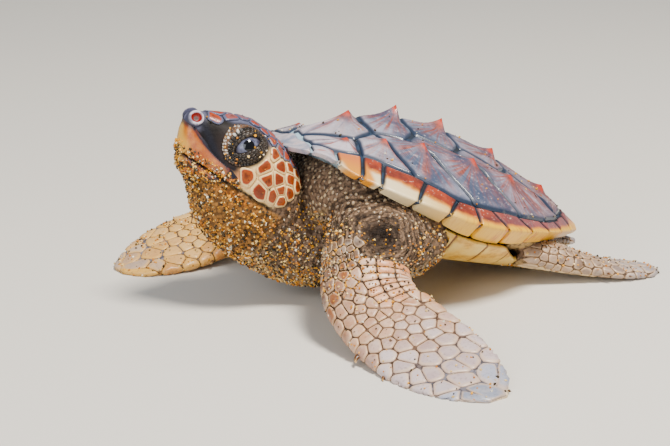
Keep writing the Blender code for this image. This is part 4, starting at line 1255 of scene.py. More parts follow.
def arm_tones(facts, sandy=0.0):
    """Brown and peach near the elbow, warm orange along the proximal edges, pale pink and blue-grey
    towards the tip. A sandy arm is yellower: straw-coloured above, orange along its leading edge."""
    s, q, chance, second = facts[:, 3], np.mod(facts[:, 4] + 1, 2) - 1, facts[:, 1], facts[:, 2]
    peach = mix(srgb(168, 120, 92), srgb(214, 172, 144), chance)
    pink = mix(srgb(180, 158, 158), srgb(224, 208, 208), second)
    grey = mix(srgb(134, 140, 156), srgb(188, 190, 206), chance)
    brown = mix(srgb(110, 68, 44), srgb(160, 102, 68), chance)
    far = ease(s + 0.10 * (second - 0.5), 0.56, 0.74)[:, None]
    colour = cover(peach, pink, far)
    tip = ease(s + 0.06 * (chance - 0.5), 0.84, 0.93)[:, None]
    colour = cover(colour, grey, tip)
    near = (ease(0.56 - s - 0.35 * np.maximum(q - 0.1, 0) + 0.08 * (second - 0.5), 0, 0.08)
            * ease(0.50 - np.abs(q), 0.0, 0.06))[:, None]
    colour = cover(colour, brown, near)
    lead = (1 - ease(np.abs(q - 0.03), 0.10, 0.16))[:, None]
    root = (1 - ease(s, 0.355, 0.41))[:, None]
    colour = cover(colour, mix(srgb(74, 56, 44), srgb(128, 98, 74), second), root)
    warm = (ease(q, 0.47, 0.52) * ease(0.56 - s, 0.0, 0.06))[:, None]
    colour = cover(colour, mix(srgb(222, 138, 84), srgb(244, 210, 184), second), warm)
    straw = mix(srgb(206, 152, 84), srgb(234, 194, 130), chance) * (1 - 0.5 * tip) + 0.5 * colour * tip
    straw = cover(straw, mix(srgb(206, 126, 34), srgb(238, 184, 76), second), lead)
    colour = cover(colour, straw, sandy)
    below = ease(-q, 0.18, 0.3)[:, None] * ease(0.98 - np.abs(q), 0, 0.06)[:, None]
    return cover(colour, mix(srgb(226, 206, 160), srgb(244, 232, 204), chance), below)


def arm_scales(name, rows, box, sandy):
    """All the scales of one front flipper."""
    chart = Map(lambda places, turn: limb_sections(rows, places, turn, 0.0, ELBOW))
    s, q, kind = arm_layout(chart)
    body = scales(chart, s, q, keep=kind < 5, gap=0.15, height=0.28, rays=20,
            most=np.interp(s * chart.length, [30, 47, 60, 80], [3.0, 3.4, 4.4, 5.6]), lean=0.28,
            chart_box=box)
    return chart, scale_mesh(name, [body], lambda facts: arm_tones(facts, sandy))


left_arm, left_scales = arm_scales("front_flipper_scales_left", ARM_LEFT, (0.5, 0.0, 1.0, 0.24), 0.0)
right_arm, right_scales = arm_scales("front_flipper_scales_right", ARM_RIGHT, (0.5, 0.25, 1.0, 0.49), 0.85)

# %% [markdown]
# ## Scales of the hind flippers and tail
# Hind flippers carry the same kind of scales, smaller, with a row of larger ones along the outer edge.

# %% Hind flippers and tail
def hind_tones(facts):
    """Grey-brown above with paler edges, cream below."""
    s, q, chance = facts[:, 3], np.mod(facts[:, 4] + 1, 2) - 1, facts[:, 1]
    colour = mix(srgb(120, 96, 80), srgb(178, 150, 128), chance)
    far = ease(s, 0.5, 0.9)[:, None]
    colour = cover(colour, mix(srgb(150, 140, 142), srgb(190, 180, 178), facts[:, 2]), far)
    below = (ease(-q, 0.1, 0.25) * ease(0.97 - np.abs(q), 0, 0.06))[:, None]
    return cover(colour, np.array([srgb(232, 212, 170)]), below)


def small_limb(name, rows, box, first, size, sink=0):
    """Staggered scales round a hind flipper or the tail."""
    chart = Map(lambda places, turn: limb_sections(rows, places, turn, 0.0, sink), 140, 60)
    spacing = lambda x: float(np.interp(x / chart.length, [0.2, 1], size))
    s, q = lattice(first * chart.length, chart.length - 1.2, lambda x: -0.97, lambda x: 0.97, spacing, chart)
    body = scales(chart, s, q, gap=0.13, height=0.2, rays=14, most=4.0, lean=0.2, chart_box=box)
    return scale_mesh(name, [body], hind_tones)


hind_left = small_limb("hind_flipper_scales_left", HIND_LEFT, (0.5, 0.5, 0.8, 0.65), 0.12, (2.4, 4.6))
hind_right = small_limb("hind_flipper_scales_right", HIND_RIGHT, (0.5, 0.67, 0.8, 0.82), 0.12, (2.4, 4.6))
tail_scales = small_limb("tail_scales", TAIL, (0.82, 0.5, 1.0, 0.65), 0.1, (1.6, 1.4), None)

# %% [markdown]
# ## Horn of the scales
# A scale is matt horn: its own tone in the middle, paler and thinner towards its edge, with fine grain.
# The tone, and how far each point is from the scale's middle, are stored on the mesh.

# %% Scale material
def scale_horn(name, edge, edge_from, edge_to, strength=0.6, roughness=0.46, coat=0.25,
               haze=srgb(238, 226, 214), hazy=0.28):
    """Horn that goes from the stored tone to an edge colour, with cloudy patches of a haze colour."""
    mat, tree, shader = finish(name, roughness=roughness, coat=coat, coat_roughness=0.22)
    share, _, _ = stored(tree, "scale")
    colour, cloud, _, height = mottled(tree, object_point(tree), attribute(tree, "tone"), haze, hazy,
                                       srgb(96, 72, 58), 0.45)
    rim_mask = ramp(tree, maths(tree, "MULTIPLY_ADD", maths(tree, "SUBTRACT", cloud, 0.5), 0.25, share),
                    edge_from, edge_to)
    colour = blend(tree, times(tree, rim_mask, strength), colour, edge)
    paint(tree, shader, colour)
    bump(tree, shader, height, 0.4, 0.0002)
    return mat


flipper_horn = scale_horn("flipper scale horn", srgb(226, 194, 160), 0.60, 0.90, 0.5)
sandy_horn = scale_horn("sandy scale horn", srgb(232, 186, 116), 0.60, 0.90, 0.5,
                        haze=srgb(240, 204, 144), hazy=0.3)
for piece in (left_scales, right_scales, hind_left, hind_right, tail_scales):
    piece.data.materials.append(sandy_horn if piece is right_scales else flipper_horn)
    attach(piece, "root")

# %% [markdown]
# ## Claws
# Each flipper carries two claws on its leading edge, the first one larger. A claw is a cone that bends:
# its middle line starts straight out of the skin and turns by degrees towards the flipper's tip.

# %% Claws
CLAW_BEND = math.radians(75)
FRONT_CLAWS, HIND_CLAWS = [(0.60, 3.3), (0.72, 2.4)], [(0.58, 2.1), (0.72, 1.6)]  # (s, length in mm)


def claw(chart, s, length, rings=9, sides=12):
    """At share u of its length the middle line has turned by u times the bend, and the claw's radius is
    0.24 length (1 - u)^0.7, a fifth narrower from side to side."""
    root, out = chart.at(s, 0.0), chart.at(s, 0.0, chart.normal)
    tip = chart.at(s + 0.02, 0.0) - chart.at(s - 0.02, 0.0)
    tip -= out * (tip @ out)
    tip /= np.linalg.norm(tip)
    u = np.linspace(0, 1, rings)[:, None]
    turned = CLAW_BEND * u
    step = (out * np.cos(turned) + tip * np.sin(turned)) * length / (rings - 1)
    middle = root - 0.5 * out + np.cumsum(step, axis=0) - step[:1]
    across = tip * np.cos(turned) - out * np.sin(turned)
    radius = 0.24 * length * np.maximum(1 - u, 0.004) ** 0.7
    turn = np.linspace(0, 2 * math.pi, sides, endpoint=False)[None, :, None]
    side = np.cross(out, tip)
    ring = middle[:, None] + radius[:, None] * (across[:, None] * np.cos(turn) + 0.8 * side * np.sin(turn))
    ring[..., 2] = np.maximum(ring[..., 2], 0.02)
    points, faces = tube(ring)
    along = np.concatenate([np.repeat(u[:, 0], sides), [0, 1]])
    return points, faces, np.stack([along, 0 * along + s, 0 * along], -1)


hind_charts = [Map(lambda places, turn, rows=rows: limb_sections(rows, places, turn, 0.0, 0), 80, 40)
               for rows in (HIND_LEFT, HIND_RIGHT)]
made = [claw(chart, s, length) for chart in (left_arm, right_arm) for s, length in FRONT_CLAWS]
made += [claw(chart, s, length) for chart in hind_charts for s, length in HIND_CLAWS]
points, faces, facts = join(made)
claws = make_mesh("claws", points, faces, closed=True)
write_attribute(claws, "claw", facts)
print("claws:", len(made))

claw_horn, tree, shader = finish("claw horn", roughness=0.35, coat=0.3, coat_roughness=0.2, specular=0.4)
along, _, _ = stored(tree, "claw")
spot = object_point(tree)
streak = noise(tree, spot, 900.0, 3.0, 0.6)
root_tone = blend(tree, ramp(tree, streak, 0.35, 0.65), srgb(58, 36, 24), srgb(112, 76, 48))
colour = blend(tree, ramp(tree, maths(tree, "MULTIPLY_ADD", streak, 0.3, along), 0.65, 1.15), root_tone,
               srgb(206, 170, 120))
paint(tree, shader, colour)
bump(tree, shader, streak, 0.3, 0.0001)
claws.data.materials.append(claw_horn)
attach(claws, "root")

# %% [markdown]
# ## The skin
# Soft skin runs from the lips to the tail with no seam, so the separate sections are fused:
# a voxel remesh turns the overlapping tubes into one surface, and smoothing rounds the folds where
# they meet. It lies a little inside the solids, which leaves room for the scales.

# %% Fuse the soft parts
COAT = 0.30  # mm left for the scales
VOXEL = 0.44


def fused(parts, voxel, rounds):
    """One surface round overlapping closed tubes, smoothed a few times."""
    tubes = [tube(rings) for rings in parts]
    offset, points, quads, fans = 0, [], [], []
    for p, (side, start, end) in tubes:
        points.append(p)
        quads.append(side + offset)
        fans += [start + offset, end + offset]
        offset += len(p)
    obj = make_mesh("skin", np.concatenate(points), [np.concatenate(quads), np.concatenate(fans)],
                    closed=True)
    remesh = obj.modifiers.new("one surface", "REMESH")
    remesh.mode, remesh.voxel_size, remesh.adaptivity = "VOXEL", voxel * 0.001, 0.0
    soften = obj.modifiers.new("soften", "SMOOTH")
    soften.factor, soften.iterations = 0.5, rounds
    obj.data = baked(obj)
    return obj


def into_shell(points):
    """World to the shell's frame: (s, t, height over the rim's level) and the point itself in mm."""
    body = (points - [0, 0, LIFT]) @ shell_turn()
    s = body[..., 0] / LENGTH + 0.5
    wide = np.maximum(half_width(np.clip(s, 0, 1)), 2.0)
    return s, body[..., 1] / wide, body[..., 2], body


def tuck_under_shell(points):
    """Flesh that would come through the shell is pressed down to 2 mm below it, or to the under side
    of the rim plates near the edge."""
    s, t, z, body = into_shell(points)
    inward, down = under_seam(np.clip(s, 0, 1))
    wide = np.maximum(half_width(np.clip(s, 0, 1)), 2.0)
    edge_in = wide - np.abs(body[..., 1])
    ceiling = dome(np.clip(s, 0, 1), np.clip(t, -1, 1), False) - 2.0
    below_rim = smooth(np.clip(s, 0, 1), STATION, RIM_HEIGHT) * LENGTH - down * ease(edge_in, 0.0, 1.0) - 0.1
    ceiling = below_rim + (ceiling - below_rim) * ease(edge_in, inward - 0.5, inward + 4.0)
    inside = (edge_in > 0) & (s > 0.035) & (s < 1)
    lowered = np.where(inside, np.minimum(z, ceiling), z)
    moved = body.copy()
    moved[..., 2] = lowered
    return tip_shell(moved)


def nape_fold():
    """The skin bunched up between a raised head and the shell: rings across the body, each an ellipse in x
    and z that shrinks by sqrt(1 - |v|^2.5) towards the sides, lower on the right as the shell is."""
    v = np.linspace(-0.995, 0.995, 40)[:, None]
    turn = np.linspace(0, 2 * math.pi, 60, endpoint=False)[None, :]
    size = np.sqrt(1 - np.abs(v) ** 2.5)
    y = -2 + 26 * v
    return np.stack([-27 + 12.3 * size * np.cos(turn), y + 0 * turn,
                     27 - 0.087 * y + 11 * size * np.sin(turn)], -1)


circle = np.linspace(0, 2 * math.pi, 96, endpoint=False)
along_body = np.linspace(0, 1, 110)
soft = [head_sections(along_body, circle, COAT)]
soft += [limb_sections(rows, along_body, circle, COAT * 0.8, ELBOW) for rows in (ARM_LEFT, ARM_RIGHT)]
soft += [limb_sections(rows, along_body[::2], circle[::2], COAT * 0.6, 0) for rows in (HIND_LEFT, HIND_RIGHT)]
soft += [limb_sections(TAIL, along_body[::3], circle[::4], 0.1)]
soft += [nape_fold(), trunk_sections(0.10, 0.36, 14), trunk_sections(0.64, 0.93, 20)]
soft = [tuck_under_shell(part) for part in soft]
skin = fused(soft, VOXEL, 6)
print("skin:", len(skin.data.polygons), "faces before sculpting")

# %% [markdown]
# ## The head's map
# The head gets the same kind of map as the limbs. Here q is 0 on the crown, negative on the left
# side and positive on the right, and both sides carry the same scales.

# %% Head map and the places on it
head_map = Map(lambda places, turn: head_sections(places, turn, 0.0))
print("head and neck:", round(head_map.length, 1), "mm long, half round the cheeks:",
      round(float(head_map.around(0.42)), 1))
EYE = np.array([14.0, 6.2, 1.9])  # eyeball's middle in the head frame, right side
EYE_RADIUS = 4.2
GAZE = np.array([-0.33, 0.92, 0.20]) / np.linalg.norm([-0.33, 0.92, 0.20])
TILT = math.radians(57.0)  # the slit between the lids rises a little to the rear while the head points up


def eye_frame(side):
    """The eyeball's middle, its outward axis, the direction of the slit and the one across it, in mm."""
    flip = np.array([1.0, side, 1.0])
    axis = GAZE * flip
    long_way = np.array([math.cos(TILT), 0, math.sin(TILT)])
    long_way -= axis * (long_way @ axis)
    long_way /= np.linalg.norm(long_way)
    up = np.cross(long_way, axis) * side
    up *= np.sign(up[2])
    zero = head_point(np.zeros(3))
    return head_point(EYE * flip), *(head_point(v) - zero for v in (axis, long_way, up))


def head_distance(centre, rays):
    """How far the head's surface lies from a point inside it, along each ray: the grid point best in
    line."""
    near = head_map.grid[: int(0.5 * len(head_map.s))].reshape(-1, 3) - centre
    far = np.linalg.norm(near, axis=1)
    best = (rays @ (near / far[:, None]).T).argmax(1)
    return far[best]


# %% [markdown]
# ## Eyelids and eyes
# A turtle's lids are thick, leathery and covered with tiny granules. Each pair is one ring of
# skin: its inner edge follows an almond slit on the eyeball, its outer edge ends on the head.
# Straight rays from the eyeball's middle carry it from one to the other, so it hugs the ball.

# %% Lids as a grid round the eye
SLIT = (5.1, 1.95, 1.10)  # half length, half height above, half height below, in mm on the eyeball
ORBIT = (5.6, 6.2, 6.4, 4.7)  # how far the lids reach off the eyeball's axis: rear, up, front, down
AROUND = np.linspace(0, 2 * math.pi, 110, endpoint=False)


def orbit_angles(side):
    """The angle off the axis, for each direction, at which the head's surface is as far off it as ORBIT
    says. Between its four reaches the orbit follows quarter ellipses: 1 / r^2 = (cos/a)^2 + (sin/b)^2."""
    centre, axis, long_way, up = eye_frame(side)
    c, s = np.cos(AROUND), np.sin(AROUND)
    reach = 1 / np.hypot(c / np.where(c > 0, ORBIT[0], ORBIT[2]), s / np.where(s > 0, ORBIT[1], ORBIT[3]))
    angle = np.radians(np.linspace(30, 86, 40))[:, None, None]
    rays = np.cos(angle) * axis + np.sin(angle) * (c[:, None] * long_way + s[:, None] * up)
    off = head_distance(centre, rays.reshape(-1, 3)).reshape(len(angle), -1) * np.sin(angle[..., 0])
    reached = off > reach
    found = np.where(reached.any(0), angle[:, 0, 0][reached.argmax(0)], angle[-1, 0, 0])
    for _ in range(12):
        found = (np.roll(found, 1) + 2 * found + np.roll(found, -1)) / 4
    return found


def contour(s, c):
    """Where the dark crease round the lids runs, as a share of the way from slit to edge."""
    return 0.73 - 0.20 * s + 0.11 * c


orbits = {side: orbit_angles(side) for side in (-1, 1)}
print("orbit opens", np.degrees(orbits[-1].min()).round(), "to", np.degrees(orbits[-1].max()).round(),
      "degrees off the axis")


def lid_grid(side, rows=36):
    """Directions go from the slit (v = 0) to the orbit's edge (v = 1). The distance from the eyeball's
    middle starts at the ball, rolls over a 0.6 mm thick lid, sinks in the crease, swells and ends in
    the head."""
    centre, axis, long_way, up = eye_frame(side)
    c, s = np.cos(AROUND), np.sin(AROUND)
    high = np.where(s > 0, SLIT[1], SLIT[2])
    inner = np.stack([SLIT[0] * c, high * np.sign(s) * np.abs(s) ** 1.45], -1) / EYE_RADIUS
    inner = axis + inner[:, :1] * long_way + inner[:, 1:] * up
    inner = unit(inner)
    wide = orbits[side][:, None]
    outer = np.cos(wide) * axis + np.sin(wide) * (c[:, None] * long_way + s[:, None] * up)
    v = np.linspace(0, 1, rows)[:, None, None] ** 1.1
    rays = inner * (1 - v) + outer * v
    rays = unit(rays)
    rim = head_distance(centre, rays[-1])
    for _ in range(6):
        rim = (np.roll(rim, 1) + 2 * rim + np.roll(rim, -1)) / 4
    v = v[..., 0]
    off = v - contour(s, c)
    lid = EYE_RADIUS + 0.50 + 0.45 * ease(v, -0.02,
            0.12) - 0.35 + 0.30 * np.sin(math.pi * np.clip(v / contour(s, c), 0, 1))
    lid = lid + 0.06 * np.sin(v * 36) * ease(v, 0.1, 0.3) * (1 - ease(v, 0.7, 0.95))
    share = ease(v, 0.30, 1.0)
    distance = lid * (1 - share) + (rim[None] - 0.35) * share
    distance = distance - 0.45 * np.exp(-((off / 0.06) ** 2)) + 0.30 * np.exp(-(((off - 0.17)
            / 0.12) ** 2)) * ease(s, -0.1, 0.5)
    return centre + rays * distance[..., None], v + 0 * AROUND, AROUND[None] + 0 * v


class GridMap(Map):
    """A map whose grid is already made: rows from the inner edge out, columns all the way round."""

    def __init__(self, grid, centre):
        """Closes the grid sideways and measures it."""
        closed = np.concatenate([grid, grid[:, :1]], 1)
        self.s, self.q = np.linspace(0, 1, len(grid)), np.linspace(-1, 1, closed.shape[1])
        self.grid = closed
        self.girth = np.linalg.norm(np.diff(closed, axis=1), axis=2).sum(1) / 2
        self.length = float(np.linalg.norm(np.diff(closed, axis=0), axis=2).sum(0).mean())
        normal = np.cross(np.gradient(closed, axis=0), np.gradient(closed, axis=1))
        normal = unit(normal, 1e-12)
        self.normal = normal * np.sign((normal * (closed - centre)).sum(-1, keepdims=True))


lid_parts, granules = [], []
for side in (-1, 1):
    grid, v, turn = lid_grid(side)
    centre = eye_frame(side)[0]
    chart = GridMap(grid, centre)
    rows, cols = v.shape
    lid_parts.append((grid.reshape(-1, 3), [sheet_faces(rows, cols, wrap=True)],
                      np.stack([v, np.sin(turn), np.cos(turn)], -1).reshape(-1, 3),
                      (grid - centre).reshape(-1, 3)))
    s, q = lattice(0.14 * chart.length, chart.length * 0.96, -1.0, 1.0, lambda x: 0.78, chart, 0.16)
    box = (0.0, 0.5, 0.2, 0.7) if side < 0 else (0.25, 0.5, 0.45, 0.7)
    granules.append(scales(chart, s, q, gap=0.07, height=0.16, rays=8, most=0.6, chart_box=box,
                           profile=[(0.0, 1.0), (0.6, 0.8), (0.95, 0.1), (1.0, -1.0)]))
points, faces, facts = join([part[:3] for part in lid_parts])
lids = make_mesh("eyelids", points, face_up(points, faces, np.concatenate([p[3] for p in lid_parts])))
write_attribute(lids, "lid", facts)
print("eyelids:", len(points), "points")


def granule_tones(facts):
    """Olive-brown on the lids, near black in the crease round them as painted shade; beyond it whitish in
    front and warm brown behind."""
    v, turn = facts[:, 3], (facts[:, 4] + 1) * math.pi
    s, c = np.sin(turn), np.cos(turn)
    off = v - contour(s, c)
    colour = mix(srgb(24, 18, 14), srgb(60, 47, 32), facts[:, 1])
    outer = ease(off, 0.04, 0.10)[:, None]
    brown = mix(srgb(48, 34, 26), srgb(92, 64, 44), facts[:, 1])
    pale = mix(srgb(196, 184, 172), srgb(252, 246, 238), facts[:, 2])
    front = (ease(s, 0.0, 0.35) * ease(-c, -0.35, 0.1) * (facts[:, 2] > 0.12))[:, None]
    colour = cover(colour, (brown * (1 - front) + pale * front), outer)
    # Painted shade: the granules in the crease round the lids are near black.
    crease = np.exp(-((off / 0.085) ** 4))[:, None]
    return cover(colour, np.array([srgb(10, 8, 9)]), crease)


lid_granules = scale_mesh("eyelid_granules", granules, granule_tones)

# %% Eyeballs
eyeballs = []
for side in (-1, 1):
    centre, axis, long_way, up = eye_frame(side)
    turn = np.linspace(0, 2 * math.pi, 64, endpoint=False)[None, :]
    tilt = (np.linspace(0, 1, 44)[1:-1] ** 1.3 * math.pi)[:, None]
    bulge = EYE_RADIUS - 0.03 + 0.22 * np.exp(-((tilt / 0.5) ** 2))
    rays = (np.cos(tilt)[..., None] * axis + np.sin(tilt)[..., None]
            * (np.cos(turn)[..., None] * long_way + np.sin(turn)[..., None] * up))
    rings = centre + rays * bulge[..., None]
    points, faces = tube(rings)
    points[-2], points[-1] = centre + axis * (EYE_RADIUS + 0.19), centre - axis * (EYE_RADIUS - 0.03)
    ring = np.concatenate([(tilt + 0 * turn).ravel(), [0, math.pi]])
    facts = np.stack([ring / math.pi, np.concatenate([(turn + 0 * tilt).ravel(), [0, 0]]) / (2 * math.pi),
                      0 * ring], -1)
    eyeballs.append((points, faces, facts))
points, faces, facts = join(eyeballs)
eyes = make_mesh("eyeballs", points, faces, closed=True)
write_attribute(eyes, "eye", facts)

wet_eye, tree, shader = finish("wet eye", roughness=0.05, coat=0.25, coat_roughness=0.02, specular=0.35)
off_axis, _, _ = stored(tree, "eye")
spot = object_point(tree)
fibre = noise(tree, spot, 1400.0, 3.0)
iris = blend(tree, ramp(tree, fibre, 0.3, 0.7), srgb(62, 64, 80), srgb(118, 120, 140))
iris = blend(tree, ramp(tree, off_axis, 0.17, 0.25), iris, srgb(66, 62, 72))
iris = blend(tree, ramp(tree, off_axis, 0.27, 0.33), iris, srgb(24, 20, 22))
colour = blend(tree, ramp(tree, off_axis, 0.110, 0.100), iris, (0.002, 0.002, 0.003))
paint(tree, shader, colour)
eyes.data.materials.append(wet_eye)

lid_skin, tree, shader = finish("lid skin", roughness=0.55, coat=0.08, coat_roughness=0.3, specular=0.2)
out_share, high, back_way = stored(tree, "lid")
spot = object_point(tree)
cloud = noise(tree, spot, 500.0, 4.0, 0.6)
crease_at = maths(tree, "MULTIPLY_ADD", high, -0.20, maths(tree, "MULTIPLY_ADD", back_way, 0.11, 0.73))
off_crease = maths(tree, "SUBTRACT", out_share, crease_at)
colour = blend(tree, ramp(tree, cloud, 0.35, 0.65), srgb(16, 11, 8), srgb(46, 34, 22))
colour = blend(tree, times(tree, ramp(tree, off_crease, 0.04, 0.12), ramp(tree, high, 0.0, 0.5)), colour,
               srgb(116, 86, 66))
colour = blend(tree, ramp(tree, out_share, 0.09, 0.03), colour, srgb(20, 17, 18))
# Painted shade: near black along the crease round the lids.
colour = blend(tree, ramp(tree, maths(tree, "ABSOLUTE", off_crease), 0.09, 0.03), colour, srgb(10, 9, 10))
paint(tree, shader, colour)
creases = maths(tree, "SINE", maths(tree, "MULTIPLY_ADD", cloud, 6.0, times(tree, out_share, 70.0)))
bump(tree, shader, maths(tree, "MULTIPLY_ADD", creases, 0.4, cloud), 0.6, 0.0003)
lids.data.materials.append(lid_skin)
granule_horn = scale_horn("lid granule", srgb(30, 25, 22), 0.45, 0.95, 0.8, haze=srgb(150, 132, 110),
                          hazy=0.04)
lid_granules.data.materials.append(granule_horn)

# %% [markdown]
# ## Beak
# Turtles have no teeth: a sheath of horn covers each jaw. The upper one wraps round the snout,
# so it is built from level lines: at each height, the head's outline is followed from the front
# back along both sides, and lifted a little. Its lower edge turns in, where the jaws meet.

# %% Level lines round the snout
def level_line(up, back_end, count):
    """Half of the head's outline at one height, from the front (side 0) back to back_end, in the head
    frame, at even distances."""
    turn = np.linspace(0, math.pi, 160)
    rings = into_head(head_sections(np.linspace(0.0, 0.42, 150), turn, 0.0))
    z = rings[..., 2]
    reached = (z[:, -1] <= up) & (z[:, 0] >= up)
    first = int(np.argmax(reached))
    line = np.array([[np.interp(-up, -z[i], rings[i, :, k]) for k in (0, 1)]
                     for i in range(first, len(z)) if reached[i]])
    front = np.interp(-up, -z[: first + 1, -1], rings[: first + 1, -1, 0]) if first else line[0, 0]
    line = np.concatenate([[[front, 0.0]], line])
    line = line[line[:, 0] <= back_end + 1.0]
    walk = np.concatenate([[0], np.cumsum(np.linalg.norm(np.diff(line, axis=0), axis=1))])
    end = np.interp(back_end, line[:, 0], walk)
    even = np.linspace(0, end, count)
    return np.stack([np.interp(even, walk, line[:, 0]), np.interp(even, walk, line[:, 1]), 0 * even + up], -1)


def sheath(levels, ends, thick, count=70, tip_drop=0.0):
    """Both sides of a beak: level lines lifted outwards by thick(v), v being 0 at the first level and 1
    at the last. A closed shell: the outside, then the same lines 0.7 mm further in."""
    half = np.array([level_line(up, end, count) for up, end in zip(levels, ends)])
    line = np.concatenate([half[:, ::-1] * [1, -1, 1], half[:, 1:]], 1)
    line[..., 2] -= tip_drop * np.exp(-((line[..., 1] / 1.6) ** 2)) * (line[..., 0] < 6) * np.linspace(0,
            1, len(levels))[:, None] ** 2
    for _ in range(2):
        line[:, 1:-1] = (line[:, :-2] + 2 * line[:, 1:-1] + line[:, 2:]) / 4
    normal = np.cross(np.gradient(line, axis=1), np.gradient(line, axis=0))
    normal = unit(normal, 1e-9)
    normal *= np.sign((normal * (line - [14, 0, -4])).sum(-1, keepdims=True))
    v = np.linspace(0, 1, len(levels))[:, None]
    u = np.linspace(-1, 1, line.shape[1])[None, :]
    outer = line + normal * (thick(v) * ease(1 - np.abs(u), 0, 0.08)
                             - 0.15 * (1 - ease(1 - np.abs(u), 0, 0.08)))[..., None]
    inner = line - normal * 0.7
    ring = np.concatenate([outer, inner[::-1]], 0)
    rows, cols = ring.shape[:2]
    facts = np.stack([np.concatenate([v, v[::-1]]) + 0 * u, np.abs(u) + 0 * np.concatenate([v, v]),
                      0 * u + 0 * np.concatenate([v, v])], -1)
    points = head_point(ring.transpose(1, 0, 2).reshape(-1, 3)).reshape(cols, rows, 3)
    mesh_points, faces = tube(points)
    facts = np.concatenate([facts.transpose(1, 0, 2).reshape(-1, 3), [[0.5, 1, 0], [0.5, 1, 0]]])
    return mesh_points, faces, facts


upper_levels = np.linspace(-0.6, -7.15, 26)
upper_ends = np.interp(upper_levels, [-7.4, -6.6, -5.2, -4.5, -4.0, -2.9, -1.2, -0.6],
                       [16.6, 15.8, 14.6, 12.6, 9.2, 5.4, 1.6, 1.0])
points, faces, facts = sheath(upper_levels, upper_ends,
        lambda v: 0.02 + 0.30 * ease(v, 0, 0.35) - 0.30 * ease(v, 0.93, 1.05), tip_drop=0.7)
beak_top = make_mesh("upper_beak", points, faces, closed=True)
write_attribute(beak_top, "horn", facts)
lower_levels = np.linspace(-7.75, -11.4, 18)
lower_ends = np.interp(lower_levels, [-11.4, -9.5, -7.7], [5.5, 10.0, 13.0])
points, faces, facts = sheath(lower_levels, lower_ends,
                              lambda v: -0.1 + 0.30 * ease(v, 0, 0.2) - 0.25 * ease(v, 0.7, 1))
beak_low = make_mesh("lower_beak", points, faces, closed=True)
write_attribute(beak_low, "horn", facts)
print("beak:", len(beak_top.data.vertices), "and", len(beak_low.data.vertices), "points")

beak_horn, tree, shader = finish("beak horn", roughness=0.38, coat=0.3, coat_roughness=0.18, specular=0.3)
down_share, back_share, _ = stored(tree, "horn")
spot = object_point(tree)
cloud = noise(tree, spot, 260.0, 4.0, 0.6)
streak = noise(tree, node(tree, "ShaderNodeMapping", Vector=spot, Scale=(700.0, 700.0, 160.0)).outputs[0],
               1.0, 3.0)
colour, _, _, _ = mottled(tree, spot, srgb(158, 82, 8), srgb(204, 134, 34), 0.9, srgb(112, 52, 8), 0.30,
                          260.0)
colour = blend(tree, ramp(tree, back_share, 0.34, 0.06), colour, srgb(238, 190, 112))
dirty = times(tree, ramp(tree, down_share, 0.20, 0.03), 0.9)
colour = blend(tree, dirty, colour, srgb(58, 48, 52))
colour = blend(tree, times(tree, ramp(tree, maths(tree, "MULTIPLY_ADD", cloud, 0.25, back_share), 0.86,
                                      1.06), ramp(tree, down_share, 0.97, 0.80)), colour, srgb(30, 30, 40))
colour = blend(tree, times(tree, ramp(tree, streak, 0.5, 0.7), 0.35), colour, srgb(150, 70, 26))
paint(tree, shader, colour)
bump(tree, shader, streak, 0.35, 0.0002)
for piece in (beak_top, beak_low):
    piece.data.materials.append(beak_horn)

# %% [markdown]
# ## Nostrils
# The nostrils open on top of the snout's tip: a raised ring round a reddish hollow. The ring is blue-grey
# with a whitish lilac painted highlight, and the middle of the hollow is darkened with painted shade.
# Each is a small disc whose height follows its radius: a pit, a rim, and a skirt into the skin.

# %% Nostrils
def disc_on_head(s, q, radius, profile, rings=14, rays=40):
    """A round patch on the head: at share r of the radius, the surface is lifted by profile(r)."""
    r, turn = np.linspace(0, 1, rings)[1:, None], np.linspace(0, 2 * math.pi, rays, endpoint=False)[None, :]
    centre, normal = head_map.at(s, q), head_map.at(s, q, head_map.normal)
    side = np.cross(normal, [0, 0, 1.0])
    side /= np.linalg.norm(side)
    up = np.cross(side, normal)
    flat = centre + radius * r[..., None] * (np.cos(turn)[..., None] * side + np.sin(turn)[..., None] * up)
    points = flat + normal * profile(r)[..., None]
    every = np.concatenate([(centre + normal * profile(np.zeros(1))[0])[None], points.reshape(-1, 3)])
    j = np.arange(rays)
    fan = np.stack([0 * j, 1 + j, 1 + (j + 1) % rays], -1)
    facts = np.concatenate([[[0, 0, 0]], np.stack([r + 0 * turn, np.sin(turn) + 0 * r, 0 * r + 0 * turn],
                                                  -1).reshape(-1, 3)])
    return every, [fan, sheet_faces(rings - 1, rays, wrap=True) + 1], facts, np.broadcast_to(normal,
            every.shape)


rim_shape = lambda r: -0.50 + 0.50 * ease(r, 0.28,
        0.52) + 0.34 * np.exp(-(((r - 0.62) / 0.15) ** 2)) - 1.5 * ease(r, 0.72, 1.0)
NOSTRIL = (0.034, 0.30)  # (s, |q|) of its middle
discs = [disc_on_head(NOSTRIL[0], side * NOSTRIL[1], 2.5, rim_shape) for side in (-1, 1)]
points, faces, facts = join([d[:3] for d in discs])
nostrils = make_mesh("nostrils", points, face_up(points, faces, np.concatenate([d[3] for d in discs])))
write_attribute(nostrils, "disc", facts)
nose, tree, shader = finish("nostril skin", roughness=0.5, coat=0.12, coat_roughness=0.25, specular=0.3)
radius_value, _, _ = stored(tree, "disc")
spot = object_point(tree)
cloud = noise(tree, spot, 700.0, 3.0)
radius_value = maths(tree, "MULTIPLY_ADD", maths(tree, "SUBTRACT", cloud, 0.5), 0.16, radius_value)
# The ring: blue-grey skin, paled by cloud noise to whitish lilac as a painted highlight.
colour = blend(tree, ramp(tree, cloud, 0.4, 0.6), srgb(130, 128, 146), srgb(214, 208, 218))
colour = blend(tree, ramp(tree, radius_value, 0.58, 0.48), colour, srgb(136, 46, 30))
